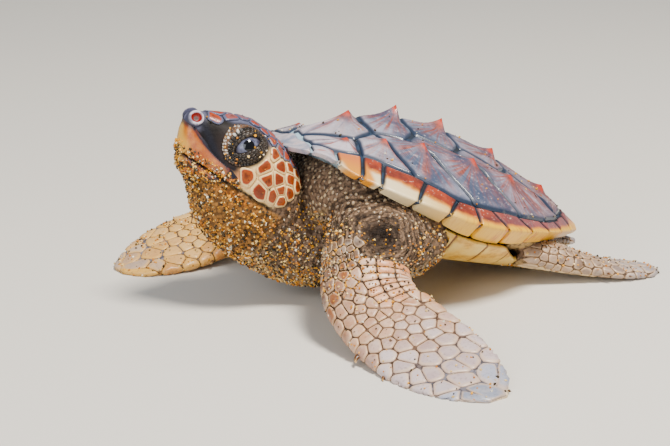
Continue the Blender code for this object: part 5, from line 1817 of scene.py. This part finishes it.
# Painted shade: the middle of the pit is darkened to a deep red-black, as the dark inside the opening.
colour = blend(tree, ramp(tree, radius_value, 0.34, 0.14), colour, srgb(48, 12, 8))
colour = blend(tree, ramp(tree, radius_value, 0.70, 0.84), colour, srgb(70, 70, 88))
paint(tree, shader, colour)
bump(tree, shader, cloud, 0.4, 0.0002)
nostrils.data.materials.append(nose)

# %% [markdown]
# ## Head scales
# A loggerhead's crown has large paired shields, and its cheeks many rounded ones, red-brown with
# broad cream borders. The middles below are (s, |q|) on the right side, mirrored to the left.
# Ghost middles round the eye, the mouth and the neck bound the outermost scales, and are dropped.

# %% Where the head's scales lie
CHEEK = [(0.365, 0.244), (0.342, 0.352), (0.411, 0.282), (0.298, 0.462), (0.386, 0.398), (0.422, 0.358),
         (0.475, 0.305),
         (0.457, 0.245), (0.521, 0.292), (0.384, 0.476), (0.452, 0.395), (0.436, 0.440), (0.475, 0.432),
         (0.492, 0.368),
         (0.505, 0.228), (0.545, 0.225)]
CROWN = [(0.103, 0.150), (0.168, 0.078), (0.222, 0.035), (0.266, 0.085), (0.305, 0.125), (0.298, 0.045),
         (0.345, 0.168),
         (0.348, 0.095), (0.355, 0.030), (0.390, 0.188), (0.398, 0.112), (0.428, 0.185), (0.446, 0.120),
         (0.425, 0.045),
         (0.474, 0.182), (0.500, 0.120), (0.486, 0.045), (0.528, 0.165), (0.552, 0.085), (0.572, 0.165)]
CROWN_MIDDLE = [(0.125, 0.0), (0.262, 0.0)]
ORBIT_EDGE = [(0.158, 0.285), (0.155, 0.378), (0.201, 0.467), (0.242, 0.444), (0.279, 0.411),
              (0.320, 0.344), (0.333, 0.256),
              (0.332, 0.190), (0.305, 0.145), (0.270, 0.125), (0.224, 0.110), (0.175, 0.167)]
GHOST = [(0.225, 0.60), (0.262, 0.60), (0.300, 0.60), (0.345, 0.592), (0.390, 0.580), (0.430, 0.560),
         (0.470, 0.535),
         (0.510, 0.490), (0.540, 0.430), (0.562, 0.360), (0.585, 0.290), (0.602, 0.225), (0.612, 0.165),
         (0.600, 0.085),
         (0.232, 0.510), (0.255, 0.520), (0.052, 0.165), (0.036, 0.060), (0.090, 0.290), (0.158, 0.335)]


def mirrored(places):
    """Both sides of a list of (s, |q|)."""
    places = np.array(places)
    return np.concatenate([places, places * [1, -1]])


orbit_middle = np.array([0.243, 0.28])
ghosts = np.concatenate([GHOST, orbit_middle + 0.84 * (np.array(ORBIT_EDGE) - orbit_middle)])
seeds = [mirrored(CHEEK), mirrored(CROWN), np.array(CROWN_MIDDLE), np.array([(0.595, 0.0), (0.020, 0.0)]),
         mirrored(ghosts)]
kind = np.concatenate([np.full(len(x), k) for k, x in enumerate(seeds)])
seeds = np.concatenate(seeds)
HEAD_PROFILE = [(0.0, 1.0), (0.35, 0.98), (0.60, 0.88), (0.78, 0.66), (0.90, 0.36), (1.0, -0.1), (1.0, -1.2)]
shields = scales(head_map, seeds[:, 0], seeds[:, 1], gap=0.10, height=0.22, rays=32, most=4.6,
                 keep=kind < 3, chart_box=(0.0, 0.0, 0.48, 0.48), profile=HEAD_PROFILE)


def head_tones(facts):
    """Red-orange shields: deeper on the crown, with blue-grey towards its rear; warm brown-orange on
    the cheeks."""
    s, q, chance = facts[:, 3], np.abs(facts[:, 4]), facts[:, 1]
    cheek = mix(srgb(106, 46, 2), srgb(148, 76, 8), chance)
    crown = mix(srgb(132, 46, 16), srgb(168, 74, 28), chance)
    plain = (ease(0.075 - q + 0.03 * (facts[:, 2] - 0.5), 0, 0.02) * ease(s, 0.13, 0.16))[:, None]
    crown = cover(crown, mix(srgb(104, 96, 116), srgb(150, 120, 128), chance), plain)
    rear = mix(srgb(120, 84, 88), srgb(164, 84, 66), facts[:, 2])
    back = (ease(s, 0.27, 0.36))[:, None] * (1 - ease(s, 0.47, 0.53) * 0.4)[:, None]
    crown = cover(crown, rear, back)
    low = ease(q + 0.03 * (chance - 0.5), 0.195, 0.215)[:, None]
    return cover(crown, cheek, low)


head_scales = scale_mesh("head_scales", [shields], head_tones)

head_horn, tree, shader = finish("head scale horn", roughness=0.38, coat=0.28, coat_roughness=0.18,
                                 specular=0.3)
share, _, _ = stored(tree, "scale")
colour, cloud, grain, _ = mottled(tree, object_point(tree), attribute(tree, "tone"), srgb(206, 122, 34),
                                  0.22, srgb(64, 26, 6), 0.80, cloud_scale=520.0)
colour = blend(tree, times(tree, times(tree, ramp(tree, share, 0.55, 0.10),
                                       ramp(tree, cloud, 0.40, 0.60)), 0.8), colour, srgb(76, 32, 14))
colour = blend(tree, times(tree, ramp(tree, share, 0.46, 0.68), 0.6), colour, srgb(150, 58, 16))
wavy = maths(tree, "MULTIPLY_ADD", maths(tree, "SUBTRACT", cloud, 0.5), 0.30, share)
colour = blend(tree, ramp(tree, wavy, 0.66, 0.82), colour, attribute(tree, "border"))
paint(tree, shader, colour)
bump(tree, shader, maths(tree, "MULTIPLY_ADD", grain, 0.6, times(tree, share, -0.5)), 0.4, 0.0002)
head_scales.data.materials.append(head_horn)


# %% Border colours of the head's scales
def border_tones(q):
    """Cream on the cheeks, grey-blue on the crown."""
    low = ease(np.abs(q), 0.18, 0.215)[..., None]
    return np.array(srgb(96, 98, 118)) * (1 - low) + np.array(srgb(238, 206, 158)) * low


write_attribute(head_scales, "border", border_tones(shields[2][:, 4]))

# %% The head's pieces in the frame
for piece, slot, nodes in ((lids, "head_skin", ()), (lid_granules, "head_skin", ()),
                           (eyes, "eye", ("eye_left", "eye_right")),
                           (beak_top, "beak_horn", ("beak_upper",)), (beak_low, "beak_horn", ("beak_lower",)),
                           (nostrils, "head_skin", ()), (head_scales, "head_skin", ())):
    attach(piece, "root")
    if nodes:
        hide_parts(*nodes)

# %% [markdown]
# ## Sculpting the skin
# The fused skin is now moved point by point, by formulas: it sinks under the lids, a groove
# parts the jaws, and the hollow behind the shoulder is pushed in, with folds round it.

# %% Eye sockets, mouth and shoulders
SHOULDERS = [left_arm.at(0.300, 0.66), right_arm.at(0.300, 0.66)]
MOUTH = -7.45  # the level of the mouth line in the head frame
SOCKET = 3.6  # how far from the eyeball's middle the skin lies inside the orbit


def from_hollow(points, centre):
    """Distance from a shoulder hollow, which is longer from side to side and shallower in height."""
    return np.linalg.norm((points - centre) * [1.0, 0.8, 1.15], axis=1)


def in_orbit(points, side):
    """For each point, its direction and distance from the eyeball's middle, and its angle off the
    eyeball's axis as a share of the orbit's: under 1 is inside."""
    centre, axis, long_way, up = eye_frame(side)
    away = points - centre
    far = np.linalg.norm(away, axis=1)
    ray = away / far[:, None]
    turn = np.mod(np.arctan2(ray @ up, ray @ long_way), 2 * math.pi)
    share = np.arccos(np.clip(ray @ axis, -1, 1)) / np.interp(turn, AROUND, orbits[side], period=2 * math.pi)
    return centre, ray, far, share


def furrows(points, centre):
    """Folds of skin in rings round a shoulder hollow: 1 in the bottom of a furrow, by a sine of the
    distance with slow wobbles, from 2.5 to 18 mm away."""
    far = from_hollow(points, centre)
    wobble = 0.8 * np.sin(points[:, 0] * 0.6) + 0.7 * np.sin(points[:, 2] * 0.8
            + 1) + 0.4 * np.sin(points[:, 1] * 1.3)
    deep = 0.5 + 0.5 * np.sin((far + wobble) * 3.3)
    return deep**2.5 * ease(far, 2.5, 6.0) * (1 - ease(far, 12.0, 18.0))


def sculpt(points, normals):
    """Moves skin points. Inside the orbit they go to SOCKET from the eyeball's middle; at the mouth line
    they sink by 0.85 exp(-(dz/0.45)^2) mm; the nostrils sink by up to 1.3 mm and the shoulder hollows by up
    to 3 mm, with furrows round them; rings run round the neck."""
    moved = points.copy()
    for side in (-1, 1):
        centre, ray, far, inside = in_orbit(points, side)
        sink = (1 - ease(inside, 0.88, 1.02)) * (far < 10)
        target = np.minimum(far, SOCKET + (far - SOCKET) * (1 - sink))
        moved = np.where((sink > 0)[:, None], centre + ray * target[:, None], moved)
    head = into_head(points)
    lip = (head[:, 0] < 27) * ease(27 - head[:, 0], 0, 3) * (head[:, 0] > -3)
    groove = 0.85 * np.exp(-(((head[:, 2] - MOUTH) / 0.45) ** 2)) * lip
    wrinkle = np.zeros(len(points))
    for side in (-1, 1):
        wrinkle += 1.3 * np.exp(-((np.linalg.norm(points - head_map.at(NOSTRIL[0], side * NOSTRIL[1]),
                                                  axis=1) / 1.3) ** 2))
    for centre in SHOULDERS:
        far = from_hollow(points, centre)
        wrinkle += 3.0 * np.exp(-((far / 3.8) ** 2)) + 0.42 * furrows(points, centre)
    neck = ease(head[:, 0], 27, 31) * (1 - ease(head[:, 0], 44, 54))
    rings_round = 0.14 * np.sin(head[:, 0] * 2.3 + 0.8 * np.sin(head[:, 2] * 0.5)) * neck
    return moved - normals * (groove + wrinkle + rings_round)[:, None]


def read_normals(mesh):
    """The direction that each point faces."""
    flat = np.empty(len(mesh.vertices) * 3, np.float32)
    mesh.vertex_normals.foreach_get("vector", flat)
    return flat.reshape(-1, 3).astype(float)


MOST_TRIANGLES = 180000  # on the skin, which leaves some under the limit of one piece
points = sculpt(read_points(skin.data), read_normals(skin.data))
points[:, 2] = np.maximum(points[:, 2], 0.02)
skin.data.vertices.foreach_set("co", place(points).astype(np.float32).ravel())
triangles = sum(len(p.vertices) - 2 for p in skin.data.polygons)
if triangles > MOST_TRIANGLES:
    thin = skin.modifiers.new("thin", "DECIMATE")
    thin.ratio = MOST_TRIANGLES / triangles
    skin.data = baked(skin)
skin.data.shade_smooth()
print("skin:", triangles, "triangles sculpted")

# %% [markdown]
# ## The skin's colours
# Colour is stored on the skin as a tone at each point, from where the point lies on the body: dark
# round the eyes and snout, cream between the cheek scales, brown on neck and shoulders, cream below,
# and painted shade in the shoulder hollows and the furrows round them.

# %% Tones of the skin
def nearest_limb(points):
    """For each point the nearest limb's station, its |side| and how near it is, from the maps' grids."""
    best, station, turn = np.full(len(points), 1e9), np.zeros(len(points)), np.zeros(len(points))
    for chart in (left_arm, right_arm):
        grid = chart.grid[60::4, ::6]
        s = np.repeat(chart.s[60::4], grid.shape[1])
        q = np.tile(chart.q[::6], grid.shape[0])
        flat = grid.reshape(-1, 3)
        close = np.flatnonzero((points[:, 1] < -34) if chart is left_arm
                               else (points[:, 1] > 30) & (points[:, 0] < -20))
        for part in np.array_split(close, max(len(close) // 4000, 1)):
            gap = ((points[part, None] - flat[None]) ** 2).sum(-1)
            k = gap.argmin(1)
            far = np.sqrt(gap[np.arange(len(part)), k])
            better = far < best[part]
            best[part[better]], station[part[better]], turn[part[better]] = (
                far[better], s[k[better]], q[k[better]])
    return best, station, turn


def skin_tones(points, normals):
    """Blends region colours by eased masks of the point's place in the head frame and in the world."""
    head = into_head(points)
    x, z = head[:, 0], head[:, 2]
    chance = rng.random(len(points))
    colour = mix(srgb(96, 78, 66), srgb(134, 112, 94), chance)

    def over(tone, mask):
        """Lays a tone over the colour so far."""
        nonlocal colour
        colour = cover(colour, np.array([tone]), np.clip(mask, 0, 1)[:, None])

    below = ease(-normals[:, 2], 0.2, 0.8)
    over(srgb(196, 168, 124), below * 0.7)
    on_head = 1 - ease(x, 27.5, 31.5)
    on_head = on_head * (x > -5) * (points[:, 0] < -20)
    over(srgb(150, 110, 72), on_head * ease(-z, 7.2, 8.0))
    cheek = on_head * ease(-z, -6.5, -3.0) * (1 - ease(-z, 7.2, 8.0)) * ease(x, 9.5,
            12.5) * (1 - ease(x - 0.5 * z, 27.5, 30.0))
    over(srgb(244, 214, 166), cheek)
    over(srgb(206, 110, 40), on_head * np.exp(-(((x - 15.5) / 2.4) ** 2) - (((z + 4.4) / 1.9) ** 2)) * 0.8)
    over(srgb(204, 122, 54), on_head * np.exp(-(((x - 17) / 4) ** 2) - (((z + 9.6) / 1.0) ** 2)) * 0.6)
    snout = on_head * (1 - ease(x, 10.0, 12.5)) * ease(z, -7.0, -6.0)
    over(srgb(15, 9, 7), snout)
    over(srgb(92, 94, 112), on_head * ease(z, 4.4, 6.2))
    over(srgb(106, 106, 124), on_head * (1 - ease(x, 1.6, 3.4)) * ease(z, -1.5, 0.5))
    band_at = np.interp(x, [1.5, 3.9, 6.4, 8.7, 11.7, 13.9], [1.6, 0.2, -2.0, -3.1, -3.9, -4.0])
    band = on_head * np.exp(-(((z - band_at) / 1.15) ** 2)) * ease(x, 0.8, 2.8) * (1 - ease(x, 13.0, 15.5))
    over(srgb(20, 20, 28), band * 1.15)
    for side in (-1, 1):
        inside = in_orbit(points, side)[3]
        over(srgb(40, 32, 30), (1 - ease(inside, 1.0, 1.12)) * on_head)
    lip = np.exp(-(((z - MOUTH) / 0.40) ** 2)) * (1 - ease(x, 25, 27)) * on_head
    over(srgb(34, 24, 20), lip)
    # Painted shade: near black in the bottom of each shoulder hollow and dark along its furrows, where the
    # sculpted skin lies deep; a paler ring lies between.
    for centre in SHOULDERS:
        far = from_hollow(points, centre)
        over(srgb(8, 5, 4), 1 - ease(far, 1.5, 6.0))
        over(srgb(160, 134, 112), 0.8 * np.exp(-((far / 12.0) ** 2)) * ease(far, 4, 7))
        over(srgb(30, 23, 20), 0.85 * furrows(points, centre))
    far, s, q = nearest_limb(points)
    limb = (far < 2.2) * ease(s, 0.36, 0.46)
    over(srgb(110, 88, 74), limb * (q > 0))
    over(srgb(120, 116, 122), limb * ease(s, 0.70, 0.85) * (q > 0))
    over(srgb(232, 216, 180), limb * (q < -0.08) * 0.9)
    return colour


skin_points, skin_normals = read_points(skin.data), read_normals(skin.data)
write_attribute(skin, "tone", skin_tones(skin_points, skin_normals))
head_at = into_head(skin_points)
cobbled = (1 - ease(head_at[:, 0], 24, 30)) * (head_at[:, 2] > -7)
fold = np.minimum(*(from_hollow(skin_points, c) for c in SHOULDERS))
write_attribute(skin, "folds", np.stack([cobbled, np.clip(fold / 40, 0, 1), 0 * fold], 1))

leather, tree, shader = finish("turtle skin", roughness=0.60, coat=0.02, coat_roughness=0.3, specular=0.16)
tone = attribute(tree, "tone")
plain_part, fold_far, _ = stored(tree, "folds")
spot = object_point(tree)
cells = node(tree, "ShaderNodeTexVoronoi", Vector=spot, Scale=950.0, Randomness=0.9)
cells.feature = "F1"
cell_far = cells.outputs["Distance"]
cloud = noise(tree, spot, 420.0, 4.0, 0.6)
grain = noise(tree, spot, 1800.0, 3.0, 0.6)
stretched = node(tree, "ShaderNodeMapping", Vector=spot, Scale=(260.0, 260.0, 1100.0)).outputs[0]
crease = noise(tree, stretched, 1.0, 4.0, 0.65)
gaps = times(tree, ramp(tree, cell_far, 0.42, 0.72), maths(tree, "SUBTRACT", 1.0, plain_part))
brighter = node(tree, "ShaderNodeVectorMath", operation="SCALE", Vector=tone, Scale=1.7).outputs[0]
colour = blend(tree, times(tree, ramp(tree, cloud, 0.42, 0.68), 0.5), tone, brighter)
colour = blend(tree, times(tree, gaps, 0.75), colour, blend(tree, 0.8, tone, srgb(20, 14, 12)))
# Painted shade: dark rings along the folds round the shoulder hollows, where the bump sinks the skin.
ring_sine = maths(tree, "SINE", maths(tree, "MULTIPLY_ADD", crease, 14.0, times(tree, fold_far, 260.0)))
near_fold = ramp(tree, fold_far, 0.48, 0.22)
colour = blend(tree, times(tree, times(tree, ramp(tree, ring_sine, 0.0, 0.9), near_fold), 0.55), colour,
               blend(tree, 0.75, tone, srgb(24, 17, 15)))
paint(tree, shader, colour)
height = maths(tree, "MULTIPLY_ADD", gaps, -0.8, times(tree, cloud, 0.6))
height = maths(tree, "MULTIPLY_ADD", times(tree, ring_sine, near_fold), -0.5, height)
height = maths(tree, "MULTIPLY_ADD", grain, 0.35, height)
bump(tree, shader, height, 0.7, 0.0004)
skin.data.materials.clear()
skin.data.materials.append(leather)
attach(skin, "root")
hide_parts("trunk", "neck", "head", "lower_jaw", "upper_arm_left", "upper_arm_right",
            "front_flipper_left",
            "front_flipper_right", "hind_flipper_left", "hind_flipper_right", "tail")

# %% [markdown]
# ## Pebbled skin
# Where the neck and shoulders fold under the shell, the skin is cobbled with small round pebbles.
# They are sown on the skin itself: many chance spots, of which only those survive that keep their
# distance from each other, so they lie as evenly as real ones.

# %% Sowing spots on a piece
def scatter(piece, weight, count):
    """Chance spots on a mesh, as many per area as the weight function (point, normal) says."""
    mesh = piece.data
    mesh.calc_loop_triangles()
    corners = np.empty(len(mesh.loop_triangles) * 3, np.int32)
    mesh.loop_triangles.foreach_get("vertices", corners)
    a, b, c = (read_points(mesh)[corners[k::3]] for k in range(3))
    cross = np.cross(b - a, c - a)
    area = np.linalg.norm(cross, axis=1) + 1e-12
    share = area / 2 * weight((a + b + c) / 3, cross / area[:, None])
    if isinstance(count, float):
        count = int(share.sum() * count)
    pick = rng.choice(len(area), count, p=share / share.sum())
    u, v = rng.random((2, count, 1))
    flip = u + v > 1
    u, v = np.where(flip, 1 - u, u), np.where(flip, 1 - v, v)
    return a[pick] + (b - a)[pick] * u + (c - a)[pick] * v, (cross / area[:, None])[pick]


def spaced(points, gap):
    """Which points stay when each claims its gap: in each of 8 rounds, a point that outranks all the
    others still open within reach is kept, and its neighbours are dropped."""
    open_, kept = np.ones(len(points), bool), np.zeros(len(points), bool)
    rank = rng.random(len(points))
    far = np.linalg.norm(points[:, None] - points[None], axis=2)
    near = (far < np.maximum(gap[:, None], gap[None])) & (far > 0)
    for _ in range(8):
        best = (np.where(near & open_[None], rank[None], -1)).max(1)
        wins = open_ & (rank > best)
        kept |= wins
        open_ &= ~wins & ~(near & wins[None]).any(1)
    return kept


def pebble_size(points):
    """1.2 mm apart high on the neck, under the shell's front edge, down to 0.8 mm lower down."""
    return 0.80 + 0.42 * ease(points[:, 2], 21.0, 27.0) * (1 - ease(points[:, 0], -24, -16))


def pebble_weight(points, normals):
    """Neck and shoulders only: behind the cheeks, above the chest, and not where the limb's scales
    begin."""
    head = into_head(points)
    neck = ease(head[:, 0], 30, 33) * (points[:, 0] < -14)
    side = np.abs(points[:, 1])
    limb = (points[:, 1] < -37) | (points[:, 1] > 34) | ((points[:, 0] < -31) & (side > 30))
    hollow = np.minimum(*(np.linalg.norm(points - c, axis=1) for c in SHOULDERS))
    folds = np.maximum(*(furrows(points, c) for c in SHOULDERS))
    return neck * ~limb * ease(hollow, 5.0, 9.0) * (points[:, 2] > 6) * (1 - 0.8 * folds)


roots, out = scatter(skin, pebble_weight, 5800)
size = pebble_size(roots)
stay = spaced(roots, size)
roots, out, size = roots[stay], out[stay], size[stay]

# %% Round pebbles on the spots
RING = np.linspace(0, 2 * math.pi, 8, endpoint=False)


def frames(normals):
    """Two directions across each normal."""
    side = np.cross(normals, [0.2, 0.1, 1.0])
    side = unit(side, 1e-9)
    return side, np.cross(normals, side)


side, up = frames(out)
chance = rng.random((len(roots), 2))
half = size * (0.44 + 0.10 * (chance[:, 0] - 0.5))
wave = 1 + 0.16 * np.sin(2 * RING[None] + chance[:, :1] * 6.28) + 0.08 * np.sin(3 * RING[None]
        + chance[:, 1:] * 6.28)
rings_of = []
for share, rise in ((0.55, 0.34), (0.9, 0.12), (1.0, -0.35)):
    reach = half[:, None] * share * wave
    rings_of.append(roots[:, None] + reach[..., None]
            * (np.cos(RING)[None, :, None] * side[:, None] + np.sin(RING)[None, :, None] * up[:, None])
                    + (half[:, None] * rise)[..., None] * out[:, None])
top, low = roots + out * (half * 0.42)[:, None], roots - out * (half * 0.4)[:, None]
body = np.concatenate([top[:, None], *rings_of, low[:, None]], 1)
n, count = body.shape[:2]
j = np.arange(8)
k = (j + 1) % 8
step = (np.arange(n) * count)[:, None, None]
fan = (np.stack([0 * j, 1 + j, 1 + k], -1)[None] + step).reshape(-1, 3)
belt = (sheet_faces(3, 8, wrap=True)[None] + 1 + step).reshape(-1, 4)
base = (np.stack([0 * j + count - 1, 17 + k, 17 + j], -1)[None] + step).reshape(-1, 3)
neck_pebbles = make_mesh("neck_pebbles", body.reshape(-1, 3), [fan, belt, base], closed=True)
share = np.tile(np.concatenate([[0], np.repeat([0.55, 0.9, 1.0], 8), [1]]), n)
# The bigger pebbles high under the shell's front edge are paler: partly their own tone and partly painted
# light that brightens the shade of the rim there.
big = np.repeat(ease(size, 0.9, 1.2), count)
chances = np.repeat(chance, count, 0)
tone = mix(srgb(98, 78, 62), srgb(156, 130, 104), chances[:, 0])
pale = big[:, None]
tone = cover(tone, mix(srgb(122, 98, 76), srgb(196, 170, 136), chances[:, 1]), pale)
write_attribute(neck_pebbles, "tone", tone)
write_attribute(neck_pebbles, "scale", np.stack([share, chances[:, 0], chances[:, 1]], 1))
turn_at = np.arctan2(roots[:, 1], roots[:, 2] - 14) / (2 * math.pi) + 0.5
patch = np.stack([0.02 + 0.44 * (roots[:, 0] + 75) / 65, 0.74 + 0.24 * turn_at], 1)
ring_uv = np.concatenate([[[0, 0]], *(r * 0.0015 * np.stack([np.cos(RING), np.sin(RING)], 1)
                                      for r in (0.55, 0.9, 1.0)), [[0, 0]]])
write_bake_map(neck_pebbles, (patch[:, None] + ring_uv[None]).reshape(-1, 2))
neck_pebbles.data.materials.append(scale_horn("neck pebble horn", srgb(48, 36, 30), 0.60, 0.95, 0.6,
                                              roughness=0.36, coat=0.5, hazy=0.15))
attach(neck_pebbles, "root")
print("neck pebbles:", n, "with", n * 48, "triangles")

# %% [markdown]
# ## Sand
# The animal has pushed through coarse volcanic beach sand, and wet skin holds the grains: thick on
# the chin, throat and chest, thinner on shoulders and flippers. A grain is an irregular eight-sided
# stone, half sunk in what it sticks to; black basalt, amber, tan and white shell are mixed by chance.

# %% Where the grains stick
def patches(points):
    """Slow waves that thin the sand here and there, from 0.44 to 1."""
    x, y, z = points.T
    return 0.72 + 0.28 * np.sin(0.41 * x + 0.9) * np.sin(0.37 * y - 0.4 * z)


def sand_on_skin(points, normals):
    """Thick on chin, throat and chest, thinner over the neck's sides and the shoulders."""
    head = into_head(points)
    jaw = ease(-head[:, 2], 7.8, 9.0) * (head[:, 0] < 46) * (points[:, 0] < -16)
    jaw = jaw * (1 - 0.55 * np.exp(-(((head[:, 0] - 27) / 5) ** 2 + ((head[:, 2] + 12.0) / 3.4) ** 2)))
    front = (points[:, 0] < -8) * (head[:, 0] > 27)
    neck = 0.34 * front * (1 - ease(points[:, 2], 22, 30))
    low = 0.95 * front * (1 - ease(points[:, 2], 12, 19))
    limb = (points[:, 1] < -43) | (points[:, 1] > 36) | ((points[:, 0] < -37)
            & (points[:, 1] > 27)) | (points[:, 0] > -6)
    hollow = np.minimum(*(np.linalg.norm(points - c, axis=1) for c in SHOULDERS))
    dense = np.maximum(np.maximum(jaw, neck), low)
    return dense * ~limb * patches(points) * ease(hollow, 2.0, 5.5) * (normals[:, 2] > -0.97)


def sand_on_arm(points, normals):
    """On the upper side, mostly below the elbow."""
    elbow = np.minimum(np.linalg.norm(points - [-34.0, -40.0, 14.0], axis=1),
                       np.linalg.norm(points - [-32.0, 39.0, 12.0], axis=1))
    return (0.09 + 0.62 * (1 - ease(elbow, 5, 17)) * patches(points)
            + 0.8 * ease(points[:, 1], 38, 42)
            * ease(patches(points * 1.9), 0.70, 0.95)) * (normals[:, 2] > 0.1)


def sand_on_beak(points, normals):
    """On the lower part of the beak, and thicker at its tip."""
    head = into_head(points)
    return ease(-head[:, 2], 4.6, 6.3) * ease(normals @ (head_point(np.array([-0.6, 0, -0.8]))
            - head_point(np.zeros(3))) + np.abs(normals[:, 1]), 0.1, 0.5)


sown = [scatter(skin, sand_on_skin, 3.6), scatter(left_scales, sand_on_arm, 1.3),
        scatter(right_scales, sand_on_arm, 2.2),
        scatter(beak_low, sand_on_beak, 4.2), scatter(beak_top, sand_on_beak, 4.4),
        scatter(head_scales, lambda p, n: 0.3 + 0 * p[:, 0], 0.16),
        scatter(lids, lambda p, n: 0.3 + 0 * p[:, 0], 0.9),
        scatter(hind_left, lambda p, n: (n[:, 2] > 0.1) * 0.5, 0.8),
        scatter(hind_right, lambda p, n: (n[:, 2] > 0.1) * 0.5, 0.8),
        scatter(belly_shell, lambda p, n: (np.abs(n[:, 1]) > 0.25) * ease(-p[:, 2], -7, -2), 1.0),
        scatter(scutes, lambda p, n: (n[:, 2] > 0.2) * 1.0, 0.03)]
print("sand sown:", [len(spots) for spots, _ in sown])
roots = np.concatenate([spots for spots, _ in sown])
out = np.concatenate([normals for _, normals in sown])

# %% Grains
OCTAHEDRON = np.array([[1, 0, 0], [-1, 0, 0], [0, 1, 0], [0, -1, 0], [0, 0, 1], [0, 0, -1.0]])
SIDES = np.array([[0, 2, 4], [2, 1, 4], [1, 3, 4], [3, 0, 4], [2, 0, 5], [1, 2, 5], [3, 1, 5], [0, 3, 5]])
STONES = np.array([srgb(10, 7, 6), srgb(64, 40, 26), srgb(196, 128, 54), srgb(232, 170, 88),
                   srgb(248, 216, 156), srgb(252, 242, 222)])
SHARES = [0.31, 0.08, 0.18, 0.21, 0.15, 0.07]


def grains(roots, out, size):
    """Octahedra turned by a chance unit quaternion. Each corner is first scaled by 0.65 to 1.25 and
    moved by chance, by 0.16 of the size as a standard deviation."""
    n = len(roots)
    shape = OCTAHEDRON[None] * rng.uniform(0.65, 1.25, (n, 6, 1)) + rng.normal(0, 0.16, (n, 6, 3))
    w, x, y, z = rng.normal(size=(n, 4)).T
    length = np.sqrt(w * w + x * x + y * y + z * z)
    w, x, y, z = w / length, x / length, y / length, z / length
    turn = np.array([[1 - 2 * (y * y + z * z), 2 * (x * y - w * z), 2 * (x * z + w * y)],
                     [2 * (x * y + w * z), 1 - 2 * (x * x + z * z), 2 * (y * z - w * x)],
                     [2 * (x * z - w * y), 2 * (y * z + w * x), 1 - 2 * (x * x + y * y)]]).transpose(2, 0, 1)
    return roots[:, None] + (shape @ turn) * size[:, None, None] + out[:, None] * (size * 0.35)[:, None, None]


size = np.clip(rng.lognormal(math.log(0.285), 0.28, len(roots)), 0.14, 0.46)
body = grains(roots, out, size)
body[..., 2] = np.maximum(body[..., 2], 0.0)
n = len(roots)
faces = (SIDES[None] + (np.arange(n) * 6)[:, None, None]).reshape(-1, 3)
sand = make_mesh("sand_grains", body.reshape(-1, 3), [faces], closed=True)
sand.data.shade_flat()
stone = rng.choice(len(STONES), n, p=SHARES)
tone = STONES[stone] * rng.uniform(0.75, 1.2, (n, 1))
write_attribute(sand, "tone", np.repeat(np.clip(tone, 0, 1), 6, 0))
side_count = int(math.ceil(math.sqrt(n)))
cell = np.stack([np.arange(n) % side_count, np.arange(n) // side_count], 1) / side_count
uv = cell[:, None] + 0.5 / side_count + 0.3 / side_count * OCTAHEDRON[None, :, :2]
write_bake_map(sand, uv.reshape(-1, 2))
stone_look, tree, shader = finish("sand grain", roughness=0.45, coat=0.06, coat_roughness=0.2, specular=0.35)
tone = attribute(tree, "tone")
speckle = noise(tree, object_point(tree), 4000.0, 2.0)
paint(tree, shader, blend(tree, times(tree, ramp(tree, speckle, 0.4, 0.7), 0.14), tone, srgb(240, 210, 160)))
sand.data.materials.append(stone_look)
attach(sand, "root")
print("sand:", n, "grains,", n * 8, "triangles")

# %% [markdown]
# ## Floor, light and camera
# A plain pale floor and soft lamps, as in a studio. The camera stands in front and to the left of the
# animal, a little above it, with a long lens as used for small animals.

# %% Floor
pale, tree, shader = finish("pale floor", roughness=0.8)
paint(tree, shader, blend(tree, noise(tree, object_point(tree), 3.0), (0.70, 0.66, 0.59), (0.74, 0.70, 0.63)))
square = np.array([[-3000, -3000, 0], [3000, -3000, 0], [3000, 3000, 0], [-3000, 3000, 0.0]])
floor = make_mesh("floor", square, [np.array([[0, 1, 2, 3]])], pale)

# %% Camera and lamps
AZIMUTH, ELEVATION, DISTANCE = math.radians(-22.6), math.radians(16.0), 0.466
back = Vector((math.sin(AZIMUTH) * math.cos(ELEVATION), -math.cos(AZIMUTH) * math.cos(ELEVATION),
               math.sin(ELEVATION)))
aim = Vector(place([-28.74, -8.26, 19.66]))
lens = bpy.data.cameras.new("camera")
lens.lens, lens.sensor_width, lens.clip_start = 100.0, 36.0, 0.01
camera = bpy.data.objects.new("camera", lens)
bpy.context.scene.collection.objects.link(camera)
camera.location = aim + back * DISTANCE
camera.rotation_euler = back.to_track_quat("Z", "Y").to_euler()
bpy.context.scene.camera = camera


def lamp(name, where, power, size, colour=(1.0, 1.0, 1.0)):
    """A square area lamp aimed at the animal."""
    light = bpy.data.lights.new(name, "AREA")
    light.energy, light.size, light.color = power, size, colour
    obj = bpy.data.objects.new(name, light)
    bpy.context.scene.collection.objects.link(obj)
    obj.location = Vector(where)
    obj.rotation_euler = (Vector(where) - aim).to_track_quat("Z", "Y").to_euler()


lamp("sun side", (0.08, -0.30, 0.75), 13.0, 0.20, (1.0, 0.95, 0.87))
lamp("sky side", (-0.75, -0.55, 0.40), 5.5, 0.6, (0.90, 0.95, 1.0))
sky = bpy.data.worlds.new("studio")
bpy.context.scene.world = sky
sky.use_nodes = True
sky.node_tree.nodes["Background"].inputs["Color"].default_value = (0.86, 0.92, 1.0, 1)
sky.node_tree.nodes["Background"].inputs["Strength"].default_value = 0.42
